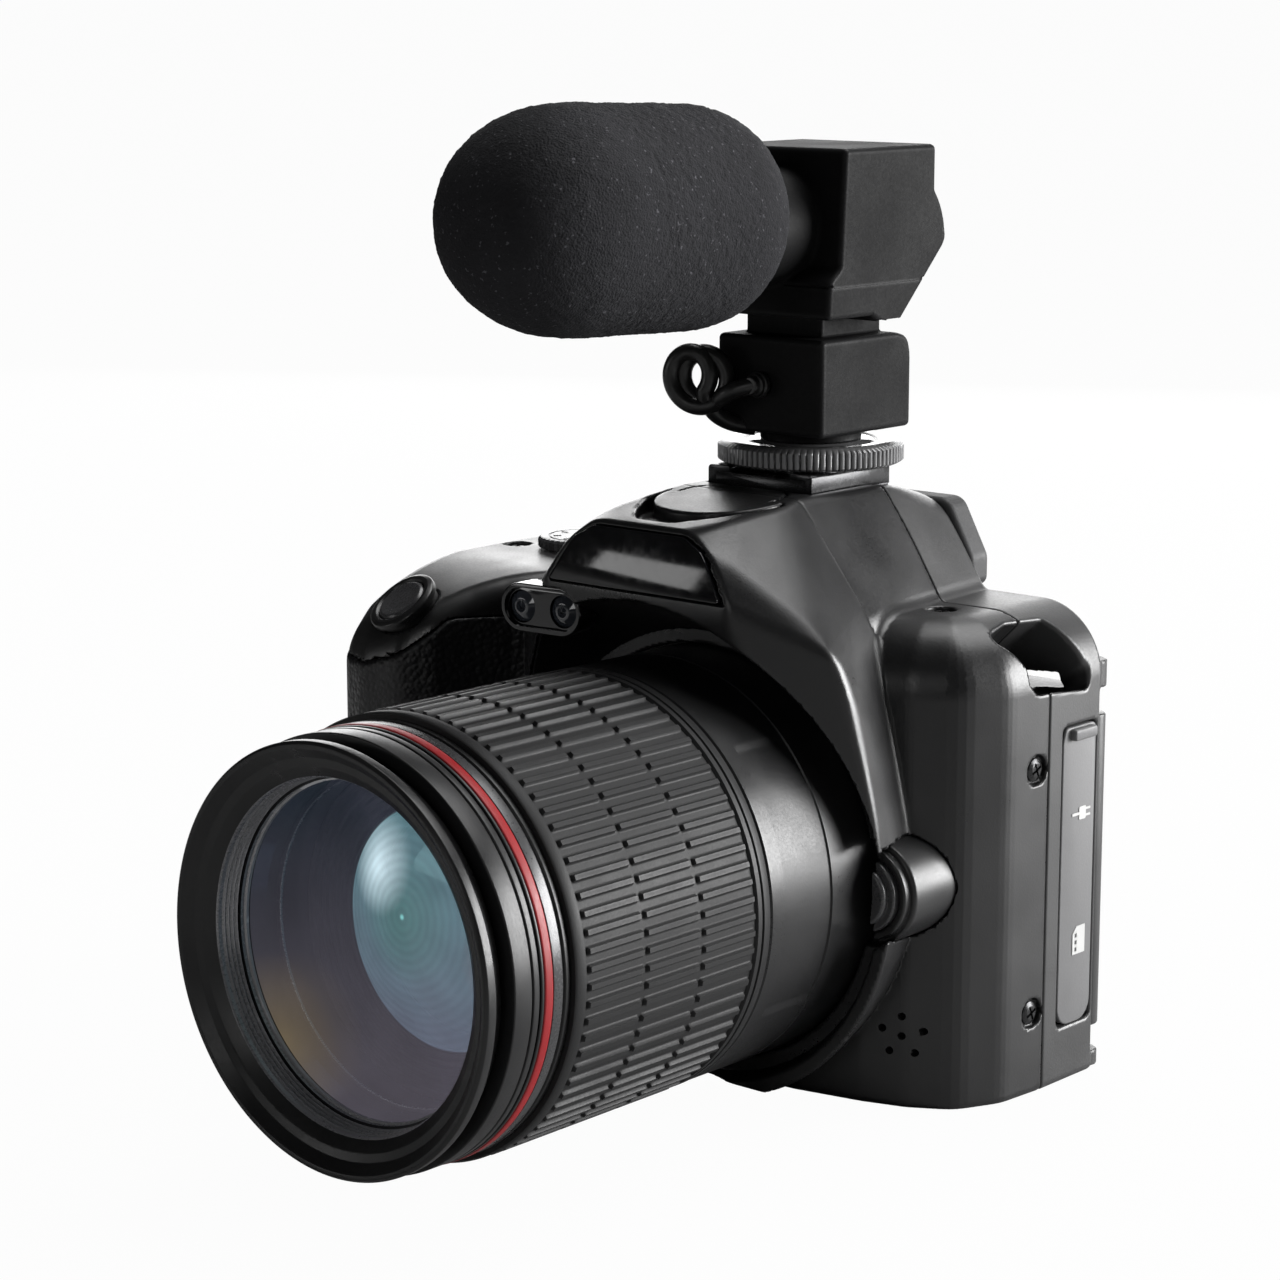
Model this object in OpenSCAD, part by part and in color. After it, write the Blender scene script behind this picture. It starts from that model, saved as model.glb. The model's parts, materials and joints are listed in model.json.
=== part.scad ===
/* [Body] */
// Distance from the lens axis to the flat side with the port door
body_right = 48; // [46:0.5:50]
// Distance from the lens axis to the outer side of the hand grip
body_left = 62; // [60:0.5:64]
// Rear face of the body, behind the tripod socket
rear_y = 19; // [18:0.5:21]
// Where the front and rear covers meet
split_y = 4; // [3:0.5:5]
// Height of the shoulder on the port side
right_top = 79.5; // [78.5:0.5:81]
// Height of the shoulder on the grip side
left_top = 82; // [81:0.5:83]
// Thickness of the covers
wall = 2.2; // [1.8:0.1:2.6]

/* [Lens] */
// Height of the lens axis above the base
axis_z = 38.5; // [38:0.25:39]
// Front rim of the lens, in front of the tripod socket
lens_front = 112; // [110:1:116]
// Outer radius of the front bezel
bezel_r = 33; // [32:0.25:34]
// Radius of the filter thread's wall, for a 55 mm filter
filter_r = 27.1; // [26.9:0.1:27.4]
// Outer radius of the fixed tube that carries the lens rings
tube_r = 29; // [28.5:0.1:29.2]
// Running clearance between a ring or shaft and what it turns on
run_gap = 0.05; // [0.02:0.01:0.09]

/* [Microphone] */
// Centre height of the foam windscreen
foam_z = 143.4; // [143:0.1:144]
// Radius of the foam windscreen
foam_r = 17.7; // [17:0.1:18.5]
// Length of the foam windscreen
foam_len = 65.2; // [62:0.5:68]
// Radius of the knurled lock wheel
wheel_r = 15.6; // [15:0.1:16.5]

/* [Screen] */
// Width of the swing-out screen housing
screen_w = 70.5; // [68:0.5:71]
// Height of the swing-out screen housing
screen_h = 61.5; // [60:0.5:62]
// Thickness of the swing-out screen housing
screen_t = 5.6; // [5:0.1:5.8]

/* [Hidden] */
$fn = 64;
big = 300;
gap = 0.1;
socket_r = 6.8;
// clearance hole radius at the root of a 1/4-20 thread
thread_r = 2.6;
// the shutter button sits on the sloping top of the grip
shutter_at = [-50, -45, 76.4];
shutter_tilt = [-0.15, -0.6, 0.78];
boss_at = [34, axis_z - 1];
boss_r = 8.1;
boss_front = -20;
release_r = 6.2;
dial_at = [-44, -6];
speaker_at = [35.7, 12.3];
dial_r = 8.5;
dial_h = 2;
door_y0 = 7.9;
door_y1 = 17.4;
door_z0 = 9.8;
door_z1 = 60.4;
screen_axis = [44.8, 19.9];
screen_y0 = 17;
screen_z0 = 3.5;
screen_x1 = 42.4;
screen_x0 = screen_x1 - screen_w;
bay_floor = screen_y0 - 0.3;
barrel_flange_r = 35.7;
// bore of the fixed lens tube, in which the glass cells slide
tube_bore = 26.3;
shoe_y0 = -12;
shoe_len = 21;
shoe_w = 22;
shoe_floor = 97.4;
shoe_slot_w = 18.7;
shoe_slot_h = 2.1;
lip_gap = 12.8;
shoe_top = 100.6;
wheel_z0 = 100.7;
wheel_z1 = 104.6;
neck_z = 104.7;
stem_at = [0.3, 1.2];
stem_r = 5.9;
capsule_z = 140.4;
battery_box = [[-57.4, -40, 3.4], [-45.6, -15, 56]];
door_axis = [-57.1, 1.4];
rear_buttons = [[-36.5, 70], [-50.5, 70], [-38, 17]];
pad_at = [-45.5, 44];

// ---------- shapes used more than once ----------

// turns a profile of [radius, distance behind the front rim] about the lens axis
module on_lens_axis() {
    translate([0, -lens_front, axis_z]) rotate([-90, 0, 0]) children();
}

module ring(outer, inner, from, to) {
    on_lens_axis() translate([0, 0, from]) difference() {
        cylinder(r = outer, h = to - from, $fn = 128);
        translate([0, 0, -1]) cylinder(r = inner, h = to - from + 2, $fn = 128);
    }
}

// a cylinder along -Y or +Y between two Y values
module rod_y(x, z, r, y0, y1) {
    translate([x, y0, z]) rotate([-90, 0, 0]) cylinder(r = r, h = y1 - y0);
}

module rod_z(x, y, r, z0, z1) {
    translate([x, y, z0]) cylinder(r = r, h = z1 - z0);
}

module block(from, to) {
    translate(from) cube(to - from);
}

// a lens blank: two bulging faces turned about +Z, with a straight edge between them
module lens_blank(r, edge, bulge_front, bulge_rear) {
    steps = 8;
    function face(bulge, i) =
        let (ball = (r * r + bulge * bulge) / (2 * bulge), a = asin(r / ball) * i / steps)
        [ball * sin(a), bulge - ball * (1 - cos(a))];
    front = [for (i = [0:steps]) let (p = face(bulge_front, i)) [p[0], -p[1]]];
    rear = [for (i = [steps:-1:0]) let (p = face(bulge_rear, i)) [p[0], edge + p[1]]];
    rotate_extrude($fn = 96) polygon(concat(front, rear));
}

module at_shutter() {
    n = shutter_tilt / norm(shutter_tilt);
    translate(shutter_at) rotate([0, acos(n[2]), atan2(n[1], n[0])]) children();
}

module rounded_plate(w, h, t, r) {
    hull() for (x = [r, w - r], z = [r, h - r])
        translate([x, 0, z]) rotate([-90, 0, 0]) cylinder(r = r, h = t, $fn = 32);
}

// ---------- outer shape of the body ----------

// plan outline: port side, curved front corner, front wall, grip
module plan_outline(inset = 0) {
    offset(delta = -inset) offset(r = 3, $fn = 32) offset(delta = -3) polygon([
        [body_right, rear_y], [body_right, split_y], [body_right - 1.2, -2.5],
        [body_right - 4, -8.5], [body_right - 10, -14.5], [body_right - 19, -19.5],
        [17, -23], [3, -24.3], [-26, -25], [-35, -35], [-38.5, -40], [-42, -46.5], [-46.5, -50.5],
        [-54, -51.4], [-59.6, -48.6], [-body_left, -43], [-body_left, rear_y]]);
}

// front view outline: the two shoulders and the base
module front_outline(inset = 0) {
    shoulder_r = 12;
    offset(delta = -inset) union() {
        translate([-body_left, 0]) square([body_left + body_right - shoulder_r, right_top - shoulder_r]);
        translate([-body_left, 0]) square([body_left + body_right, right_top - shoulder_r]);
        translate([-body_left + 5, 0]) square([body_left + body_right - shoulder_r - 5, right_top]);
        translate([body_right - shoulder_r, right_top - shoulder_r]) circle(r = shoulder_r);
        translate([-body_left, 0]) square([body_left - 20, left_top - 5]);
        translate([-body_left + 5, 0]) square([body_left - 25, left_top]);
        translate([-body_left + 5, left_top - 5]) circle(r = 5);
    }
}

module body_block(inset = 0) {
    difference() {
        intersection() {
            translate([0, 0, inset]) linear_extrude(100) plan_outline(inset);
            translate([0, 50, 0]) rotate([90, 0, 0]) linear_extrude(120) front_outline(inset);
        }
        at_shutter() translate([-big / 2, -big / 2, -inset]) cube([big, big, 60]);
    }
}

module mirrored_points(points) {
    hull() for (p = points, side = [-1, 1])
        translate([side * p[0], p[1], p[2]]) cube(0.02, center = true);
}

// the mass round the lens and below the viewfinder housing
module cowl() {
    mirrored_points([
        [19.6, -43.8, 81.5], [19.6, -43.8, 84], [15.5, -42.6, 91.4], [9.3, -41.8, 95.2],
        [12.5, -34.5, 96.2], [31, -34.5, 80.4], [34.5, -34.5, 77.5],
        [37, -30.5, 72], [38.3, -29.6, 64], [38.6, -29, 54], [38.4, -28, 44],
        [14, -17, 97.6], [29.5, -17, 79], [36, -15, 68], [36, -15, 44]]);
}

module hump() {
    mirrored_points([
        [14, -17, 97.6], [29.3, -19, 79], [14, 6, 97.6], [16.5, 6, 94.6], [25.5, 6, 79],
        [29.3, -19, 60], [25.5, 6, 60], [11, rear_y - 1, 94.6], [16.5, rear_y - 1, 92],
        [24.3, rear_y - 1, 80.5], [24.3, rear_y - 1, 60]]);
}

// the funnel-shaped space in front of the body that the lens barrel passes through
module funnel(extra = 0) {
    slope = 0.4;
    depth = 34;
    on_lens_axis() translate([0, 0, lens_front - 25.5 - depth]) difference() {
        cylinder(r1 = 37.2 + slope * depth + extra, r2 = 37.2 + extra, h = depth + extra, $fn = 96);
        translate([0, 0, -1]) cylinder(r = 5, h = 1.5);
    }
}

module mount_disc() {
    intersection() {
        rod_y(0, axis_z, 41.6, -28.5, -18);
        block([-60, -30, 0.6], [60, -10, 90]);
    }
}

module body_outer() {
    body_block();
    cowl();
    hump();
    mount_disc();
}

// hollow inside both covers
module body_cavity() {
    intersection() {
        body_block(wall);
        union() {
            block([-big, -22.4, 0], [big, bay_floor - wall, 90]);
            block([-big, -70, 0], [-37, -20, 90]);
        }
    }
    hull() for (x = [-1, 1]) {
        translate([x * 11, -34, 92]) cube(1, center = true);
        translate([x * 13, -34, 84]) cube(1, center = true);
        translate([x * 20, -19, 77]) cube(1, center = true);
        translate([x * 20, rear_y - 5, 77]) cube(1, center = true);
        translate([x * 11, rear_y - 6, 91]) cube(1, center = true);
    }
}

// the window through the port-side shoulder that the strap passes through
module strap_window(extra = 0) {
    corner = [body_right - 12, 0, right_top - 12];
    floor_depth = 1;
    translate(corner) rotate([0, 45, 0]) translate([0, 0, floor_depth - extra]) linear_extrude(20)
        offset(delta = extra) polygon([[-3, -7.3], [-4.1, -1.2], [-2.8, 9.2], [-1.1, 10.2], [5.8, 13.8],
            [7.1, 15], [10.2, 14.9], [10.1, -2.5], [9.1, -4.3], [5.7, -4.7], [3.2, -5.9], [-0.4, -7.3]]);
    // slot from the window to the rear face
    block([32 - extra, 9, 65.2 - extra], [43 + extra, rear_y + 2, 69 + extra]);
}

module left_strap_window(extra = 0) {
    block([-body_left - 2, 5 - extra, 64 - extra], [-body_left + 6 + extra, 15 + extra, 74 + extra]);
}

module lens_opening() {
    rod_y(0, axis_z, 34.4 + gap + 0.2, -60, -20);
}

module case_openings() {
    lens_opening();
    // seat of the barrel's flange behind the front wall
    rod_y(0, axis_z, barrel_flange_r + gap, -23, -18.7);
    // tripod socket
    rod_z(0, 0, socket_r + gap, -1, 12);
    // shutter collar
    at_shutter() translate([0, 0, -8]) cylinder(r = 5.6 + gap, h = 10);
    at_shutter() translate([0, 0, -gap]) cylinder(r = 6.3 + gap, h = 10);
    // mode dial spindle
    rod_z(dial_at[0], dial_at[1], 3 + run_gap, left_top - 6, left_top + 2);
    // lens release
    rod_y(boss_at[0], boss_at[1], boss_r + gap, boss_front - 0.5, -8);
    rod_y(boss_at[0], boss_at[1], release_r + 2 * gap, -40, -8);
    // speaker holes
    translate([speaker_at[0], -30, speaker_at[1]]) speaker_holes();
    // battery compartment mouth
    block([-58.6 - gap, -45.6 - gap, -1], [-42 + gap, -14 + gap, wall + 1]);
    rod_y(door_axis[0], door_axis[1], 0.8 + gap, -47, -12.5);
    // accessory shoe seat
    block([-shoe_w / 2 - gap, shoe_y0 - gap, 96.6], [shoe_w / 2 + gap, shoe_y0 + shoe_len + gap, 120]);
    // lamps
    at_lamps() lamp_capsule(4 + gap, -8, 5);
    // name badge seat
    badge_shape(gap, 2);
    screw_holes();
}

module speaker_holes() {
    rotate([-90, 0, 0]) {
        cylinder(r = 0.65, h = 30, $fn = 24);
        for (i = [0:4]) rotate([0, 0, 72 * i - 90]) translate([3.3, 0, 0]) cylinder(r = 0.65, h = 30, $fn = 24);
    }
}

// the badge stands on the front face of the viewfinder housing, leaning back
module badge_shape(extra = 0, depth = 1.2) {
    lean = atan2(2, 11.4);
    translate([0, -43.9, 83.6]) rotate([90 - lean, 0, 0]) translate([0, 0, -depth]) linear_extrude(depth + 4)
        offset(delta = extra) polygon([[-18.2, 1], [18.2, 1], [14.4, 7.2], [13.2, 8.6], [9.4, 10.6],
            [-9.4, 10.6], [-13.2, 8.6], [-14.4, 7.2]]);
}

// the two round windows in front of the grip: local X runs between them, local Z goes inwards
module at_lamps() {
    translate([-21.2, -42.4, 78.8]) rotate([0, 0, 4]) rotate([-90, 0, 0]) children();
}

module lamp_capsule(r, from, to) {
    hull() for (x = [-4.3, 4.3])
        translate([x, 0, from]) cylinder(r = r, h = to - from, $fn = 48);
}

// seats of the cross-head screws: two in the port side, two in the shoulders, four in the base
side_screws = [[body_right - 1.2, 1, 54.8], [body_right - 1.2, 1, 14]];
shoulder_screws = [[30, -1.6, right_top - 1.2], [-56, -11, left_top - 1.2]];
base_screws = [[-30, 10], [34, 10], [-30, -16], [30, -14]];
screw_head_r = 2;

module screw_holes() {
    for (p = side_screws) translate(p) rotate([0, 90, 0]) cylinder(r = 2.5, h = 5);
    for (p = shoulder_screws) translate(p) cylinder(r = 2.5, h = 5);
    for (p = base_screws) rod_z(p[0], p[1], 2.5, -1, 1.2);
}

// ---------- body parts ----------

module front_cover() {
    color("#161617") difference() {
        intersection() {
            body_outer();
            block([-big, -big, -1], [big, split_y - gap / 2, big]);
        }
        funnel();
        difference() {
            body_cavity();
            funnel(wall);
            strap_window(1.6);
        }
        strap_window();
        case_openings();
        grip_skin_shape(gap);
    }
}

module rear_cover() {
    color("#1a1a1b") difference() {
        union() {
            intersection() {
                body_outer();
                block([-big, split_y + gap / 2, -1], [big, rear_y, big]);
            }
            // ears that hold the screen's hinge pins
            rod_z(screen_axis[0], screen_axis[1], 2.7, 0.3, screen_z0 - 0.4);
            rod_z(screen_axis[0], screen_axis[1], 2.7, screen_z0 + screen_h + 0.4, 70);
        }
        difference() {
            body_cavity();
            strap_window(1.6);
            left_strap_window(1.6);
            translate([screen_axis[0], screen_axis[1], 0]) cylinder(r = 4.6, h = 76);
        }
        strap_window();
        left_strap_window();
        rod_z(0, 0, socket_r + gap, -1, 12);
        block([-shoe_w / 2 - gap, 0, 96.6], [shoe_w / 2 + gap, shoe_y0 + shoe_len + gap, 120]);
        // bay for the screen and its hinge
        block([screen_x0 - 0.6, bay_floor, screen_z0 - 0.4],
            [screen_axis[0], rear_y + 5, screen_z0 + screen_h + 0.4]);
        rod_z(screen_axis[0], screen_axis[1], 3.3, screen_z0 - 0.4, screen_z0 + screen_h + 0.4);
        rod_z(screen_axis[0], screen_axis[1], 1.2, screen_z0 - 3, screen_z0 + screen_h + 3);
        // port door recess and the sockets behind it
        block([body_right - 1.7, door_y0 - gap, door_z0 - gap], [body_right + 3, door_y1 + gap, door_z1 + 0.4]);
        block([body_right - 6, door_y0 + 1, door_z0 + 3], [body_right + 3, door_y1 - 2.8, door_z1 - 6]);
        // rear buttons
        for (p = rear_buttons) rod_y(p[0], p[1], 2.6 + run_gap, 10, rear_y + 5);
        rod_y(pad_at[0], pad_at[1], 9 + run_gap, 10, rear_y + 5);
        // eyepiece tunnel
        block([-10.3, rear_y - 8, 82.8], [10.3, rear_y + 3, 91.2]);
        screw_holes();
    }
}

// the leather covers the grip and the hollow beside it, up to a line just below the sloping top
module grip_skin_shape(extra = 0) {
    depth = 0.8 + extra;
    difference() {
        intersection() {
            union() {
                body_block();
                cowl();
            }
            block([-70, -60, 5 - extra], [-18 + extra, -22 + extra, 90]);
            at_shutter() translate([-big / 2, -big / 2, -big - 3.2 + extra]) cube(big);
            block([-70, -60, 0], [0, 0, 75 + extra]);
        }
        intersection() {
            union() {
                body_block(depth);
                translate([depth * 0.6, depth * 0.9, 0]) cowl();
            }
            block([-80, -60, -5], [0, 0, 90]);
        }
    }
}

module grip_skin() {
    color("#121213") difference() {
        grip_skin_shape();
        lens_opening();
        funnel();
        mount_disc();
        at_lamps() lamp_capsule(4.3, -8, 5);
    }
}

module name_badge() {
    color("#0c0c0e") intersection() {
        badge_shape(0, 1.1);
        translate([0, -43.9, 83.6]) rotate([-atan2(2, 11.4), 0, 0]) block([-30, -0.4, -5], [30, 1.2, 20]);
    }
}

module accessory_shoe() {
    color("#2a2a2c") difference() {
        block([-shoe_w / 2, shoe_y0, 96.7], [shoe_w / 2, shoe_y0 + shoe_len, shoe_top]);
        block([-shoe_slot_w / 2, shoe_y0 + 1.5, shoe_floor],
            [shoe_slot_w / 2, shoe_y0 + shoe_len + 1, shoe_floor + shoe_slot_h]);
        block([-lip_gap / 2, shoe_y0 + 1.5, shoe_floor], [lip_gap / 2, shoe_y0 + shoe_len + 1, shoe_top + 1]);
    }
}

module eyecup() {
    color("#0f0f10") difference() {
        translate([-20, rear_y + gap, 80.2]) rounded_plate(40, 13, 4.4, 4);
        block([-11.5, rear_y - 1, 82.6], [11.5, rear_y + 6, 91]);
    }
}

module eyepiece_glass() {
    color("#303848") block([-10, rear_y - 3.5, 83], [10, rear_y - 1.5, 91]);
}

module lamp_bezel() {
    color("#101012") difference() {
        at_lamps() lamp_capsule(4, 0, 4.9);
        lamp_pair(2.9 + gap, -1.2, 9);
    }
}

module lamp_pair(r, from, len) {
    at_lamps() for (x = [-4.3, 4.3])
        translate([x, 0, from]) cylinder(r = r, h = len, $fn = 48);
}

module lamp_lenses() {
    color("#2c3038") lamp_pair(2.9, 0.5, 2.4);
}

module strap_pin() {
    color("#8c8c90") rod_z(-body_left + 2.2, 10, 1.1, 64.1, 73.9);
}

module shutter_collar() {
    color("#1c1c1d") at_shutter() difference() {
        union() {
            cylinder(r = 6.3, h = 1.5);
            translate([0, 0, -3.2]) cylinder(r = 5.6, h = 3.4);
        }
        translate([0, 0, -5]) cylinder(r = 4.4 + run_gap, h = 10);
    }
}

module shutter_button() {
    color("#3a3a3c") at_shutter() translate([0, 0, -1.6]) cylinder(r = 4.4, h = 3.2);
}

module mode_dial() {
    color("#1c1c1e") translate([dial_at[0], dial_at[1], 0]) {
        translate([0, 0, left_top + 0.2]) difference() {
            cylinder(r = dial_r, h = dial_h);
            for (i = [0:35]) rotate([0, 0, 10 * i]) translate([dial_r, 0, -1]) cylinder(r = 0.35, h = 6, $fn = 6);
        }
        translate([0, 0, left_top - 4]) cylinder(r = 3, h = 5);
    }
}

module release_housing() {
    color("#19191a") difference() {
        rod_y(boss_at[0], boss_at[1], boss_r, boss_front, -8.2);
        rod_y(boss_at[0], boss_at[1], release_r + run_gap, -24, -15.5);
        rod_y(boss_at[0], boss_at[1], 2.5 + run_gap, -24, -5);
    }
}

module release_button() {
    color("#2a2a2c") {
        difference() {
            rod_y(boss_at[0], boss_at[1], release_r, -23.6, -18.2);
            // room for the lens barrel beside the button
            rod_y(0, axis_z, 36.4, -60, -20.6);
        }
        rod_y(boss_at[0], boss_at[1], 2.5, -18.3, -12);
    }
}

module port_door() {
    color("#3c3c3e") {
        translate([body_right - 1.5, door_y0, door_z0]) rotate([0, 0, 90]) mirror([0, 1, 0])
            rounded_plate(door_y1 - door_y0, door_z1 - door_z0, 1.5, 4.2);
        block([body_right - 0.2, door_y0 + 1.6, door_z1 - 2.4], [body_right + 1.2, door_y1 - 1, door_z1 - 0.5]);
    }
}

module port_sockets() {
    color("#9a9a9e") difference() {
        union() {
            block([body_right - 12, 8.9, 41.5], [body_right - 2, 13, 50]);
            block([body_right - 27, 8.9, 16], [body_right - 2.2, 12.9, 40]);
        }
        block([body_right - 10, 9.9, 42.5], [body_right, 12, 49]);
        block([body_right - 25.2, 9.7, 16.9], [body_right, 12.1, 39.1]);
    }
}

module memory_card() {
    color("#23283a") block([body_right - 25, 9.85, 17], [body_right - 2.6, 11.95, 39]);
}

module battery() {
    color("#3b3f46") hull() {
        block(battery_box[0] + [2, 0, 0], battery_box[1] - [2, 0, 0]);
        block(battery_box[0] + [0, 2, 0], battery_box[1] - [0, 2, 0]);
    }
}

module battery_door() {
    color("#19191a") difference() {
        union() {
            block([door_axis[0], -45.5, 0], [-42.1, -14, 1.8]);
            rod_y(door_axis[0], door_axis[1], 1.4, -45.5, -14);
        }
        rod_y(door_axis[0], door_axis[1], 0.8 + run_gap, -50, -10);
    }
}

module door_pin() {
    color("#b0b0b4") rod_y(door_axis[0], door_axis[1], 0.8, -46.9, -12.6);
}

module main_board() {
    color("#1f5a36") block([-30, 6.2, 8], [33, 7.6, 62]);
}

module sensor_board() {
    color("#1f5a36") block([-15, -10, 26], [15, -8.6, 51]);
}

module image_sensor() {
    color("#3a3f58") block([-6, -12.4, axis_z - 5], [6, -10.1, axis_z + 5]);
}

module speaker() {
    color("#2c2c2c") difference() {
        rod_y(32, speaker_at[1], 6.5, -10, -7);
        rod_y(32, speaker_at[1], 5.2, -11, -9.4);
    }
}

module chassis() {
    color("#77787c") difference() {
        union() {
            block([-30, -18.6, 3], [24, -17.2, 70]);
            block([-14, -17.3, 2.5], [14, 3.5, 5.5]);
        }
        rod_y(0, axis_z, 13, -20, -15);
        rod_z(0, 0, 5 + gap, 0, 8);
        block([-30.1, -20, 2], [-20, -15, 30]);
    }
}

// threaded insert with a wide foot: its mouth is the origin
module tripod_socket() {
    color("#b08d4a") difference() {
        union() {
            cylinder(r = socket_r, h = 2.3);
            cylinder(r = 5, h = 10);
        }
        translate([0, 0, -1]) cylinder(r = thread_r, h = 9);
    }
}

module screw_head(h = 1) {
    difference() {
        cylinder(r = screw_head_r, h = h);
        translate([-1.4, -0.25, h - 0.5]) cube([2.8, 0.5, 2]);
        translate([-0.25, -1.4, h - 0.5]) cube([0.5, 2.8, 2]);
    }
}

module case_screws() {
    color("#8f9095") {
        for (p = side_screws) translate(p + [0.02, 0, 0]) rotate([0, 90, 0]) screw_head(0.8);
        for (p = shoulder_screws) translate(p + [0, 0, 0.02]) screw_head(0.8);
        for (p = base_screws) translate([p[0], p[1], 1.15]) mirror([0, 0, 1]) screw_head(0.8);
    }
}

// ---------- screen and rear controls ----------

module screen_housing() {
    color("#141415") difference() {
        union() {
            translate([screen_x0, screen_y0, screen_z0]) rounded_plate(screen_w, screen_h, screen_t, 3);
            block([screen_x1 - 4, screen_y0, screen_z0 + 4], [screen_axis[0], screen_y0 + screen_t, screen_z0 + screen_h - 4]);
            rod_z(screen_axis[0], screen_axis[1], 2.7, screen_z0 + 4, screen_z0 + screen_h - 4);
        }
        translate([screen_x0 + 5, screen_y0 + screen_t - 1.6, screen_z0 + 4.5])
            cube([60, 5, screen_h - 9]);
        rod_z(screen_axis[0], screen_axis[1], 1 + run_gap, screen_z0 - 1, screen_z0 + screen_h + 1);
        // the hinge end is cut back so that only the knuckle passes the body's edge
        block([screen_x1 - 1, screen_y0 - 1, screen_z0 - 1], [screen_x1 + 6, 30, screen_z0 + 3.9]);
        block([screen_x1 - 1, screen_y0 - 1, screen_z0 + screen_h - 3.9], [screen_x1 + 6, 30, screen_z0 + screen_h + 1]);
    }
}

module screen_panel() {
    color("#20242c") translate([screen_x0 + 5.1, screen_y0 + screen_t - 1.5, screen_z0 + 4.6])
        cube([59.8, 1.4, screen_h - 9.2]);
}

module screen_pins() {
    color("#a8a8ac") {
        rod_z(screen_axis[0], screen_axis[1], 1, screen_z0 - 2.8, screen_z0 + 10);
        rod_z(screen_axis[0], screen_axis[1], 1, screen_z0 + screen_h - 10, screen_z0 + screen_h + 2.8);
    }
}

module rear_button(p) {
    rod_y(p[0], p[1], 2.6, rear_y - 3.2, rear_y + 1.4);
}

module power_button() { color("#2c2c2e") rear_button(rear_buttons[0]); }
module menu_button() { color("#2c2c2e") rear_button(rear_buttons[1]); }
module play_button() { color("#2c2c2e") rear_button(rear_buttons[2]); }

module pad_ring() {
    color("#2c2c2e") difference() {
        rod_y(pad_at[0], pad_at[1], 9, rear_y - 3.2, rear_y + 1.6);
        rod_y(pad_at[0], pad_at[1], 3.8 + run_gap, rear_y - 5, rear_y + 3);
    }
}

module ok_button() {
    color("#38383a") rod_y(pad_at[0], pad_at[1], 3.8, rear_y - 3.2, rear_y + 1.4);
}

// ---------- lens ----------

module front_bezel() {
    mouth = 3;
    color("#111112") on_lens_axis() rotate_extrude($fn = 128) polygon([
        [bezel_r - 0.6, 0], [bezel_r, 0.5], [bezel_r, 2.1], [bezel_r - 1.8, 2.4], [bezel_r - 1.8, 4.9],
        [tube_r, 4.9], [tube_r, 7.4], [tube_bore - run_gap, 7.4], [tube_bore - run_gap, 8.8],
        [25.3, 8.8], [25.3, mouth + 4], [filter_r, mouth + 4], [filter_r, mouth]]);
}

module front_element() {
    color("#5a4a68") on_lens_axis() translate([0, 0, 9.2]) lens_blank(tube_bore - 0.1, 3.4, 1.8, 1.6);
}

module focus_ring() {
    color("#1a1a1b") {
        ring(33.4, 31.4, 5.4, 10.6);
        ring(31.5, tube_r + run_gap, 5.4, 6.6);
        ring(31.5, tube_r + run_gap, 9.4, 10.6);
    }
}

module lens_tube() {
    color("#202022") difference() {
        union() {
            ring(tube_r, tube_bore, 7.5, lens_front - 21);
            ring(33.5, tube_r - 1, 10.8, 17);
        }
        ring(40, 32.3, 11.4, 13.4);
    }
}

module accent_ring() {
    color("#b01822") ring(33.6, 32.35, 11.45, 13.35);
}

module zoom_ring() {
    color("#161617") {
        difference() {
            ring(34.6, 32, 17.1, 61.4);
            on_lens_axis() for (z = [19.5, 31.5, 32.9, 44.5, 45.9, 57.5]) translate([0, 0, z])
                difference() {
                    cylinder(r = 40, h = 0.6);
                    translate([0, 0, -1]) cylinder(r = 34, h = 3);
                }
        }
        ring(32.1, tube_r + run_gap, 17.1, 20);
        ring(32.1, tube_r + run_gap, 58.4, 61.4);
    }
}

module lens_barrel() {
    color("#141415") {
        ring(34.4, 32.2, 61.6, lens_front - 22.9);
        ring(32.3, tube_r + run_gap, 61.6, 64.6);
        ring(barrel_flange_r, tube_r + run_gap, lens_front - 22.9, lens_front - 20.9);
    }
}

module focus_cell() {
    color("#2a2a2c") ring(tube_bore - run_gap, 19.2, 21, 29);
}

module focus_element() {
    color("#3f6a66") on_lens_axis() translate([0, 0, 24.2]) lens_blank(19.1, 3, 4.4, 1.2);
}

module aperture_plate() {
    color("#0a0a0a") ring(tube_bore - run_gap, 8, 44, 44.8);
}

module zoom_cell() {
    color("#2a2a2c") ring(tube_bore - run_gap, 14.2, 50, 58);
}

module zoom_element() {
    color("#4a5a70") on_lens_axis() translate([0, 0, 52]) lens_blank(14.1, 3, 1.8, 1.8);
}

// ---------- microphone ----------

module mic_foot() {
    color("#303032") {
        block([-9.2, shoe_y0 + 2, shoe_floor + 0.1], [9.2, shoe_y0 + 20, shoe_floor + 1.9]);
        rod_z(stem_at[0], stem_at[1], stem_r, shoe_floor + 1.8, neck_z - 0.02);
    }
}

module lock_wheel() {
    color("#47474a") translate([stem_at[0], stem_at[1], wheel_z0]) difference() {
        cylinder(r = wheel_r, h = wheel_z1 - wheel_z0);
        translate([0, 0, -1]) cylinder(r = stem_r + run_gap, h = 10);
        for (i = [0:71]) rotate([0, 0, 5 * i]) translate([wheel_r, 0, -1]) cylinder(r = 0.5, h = 10, $fn = 6);
    }
}

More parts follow.
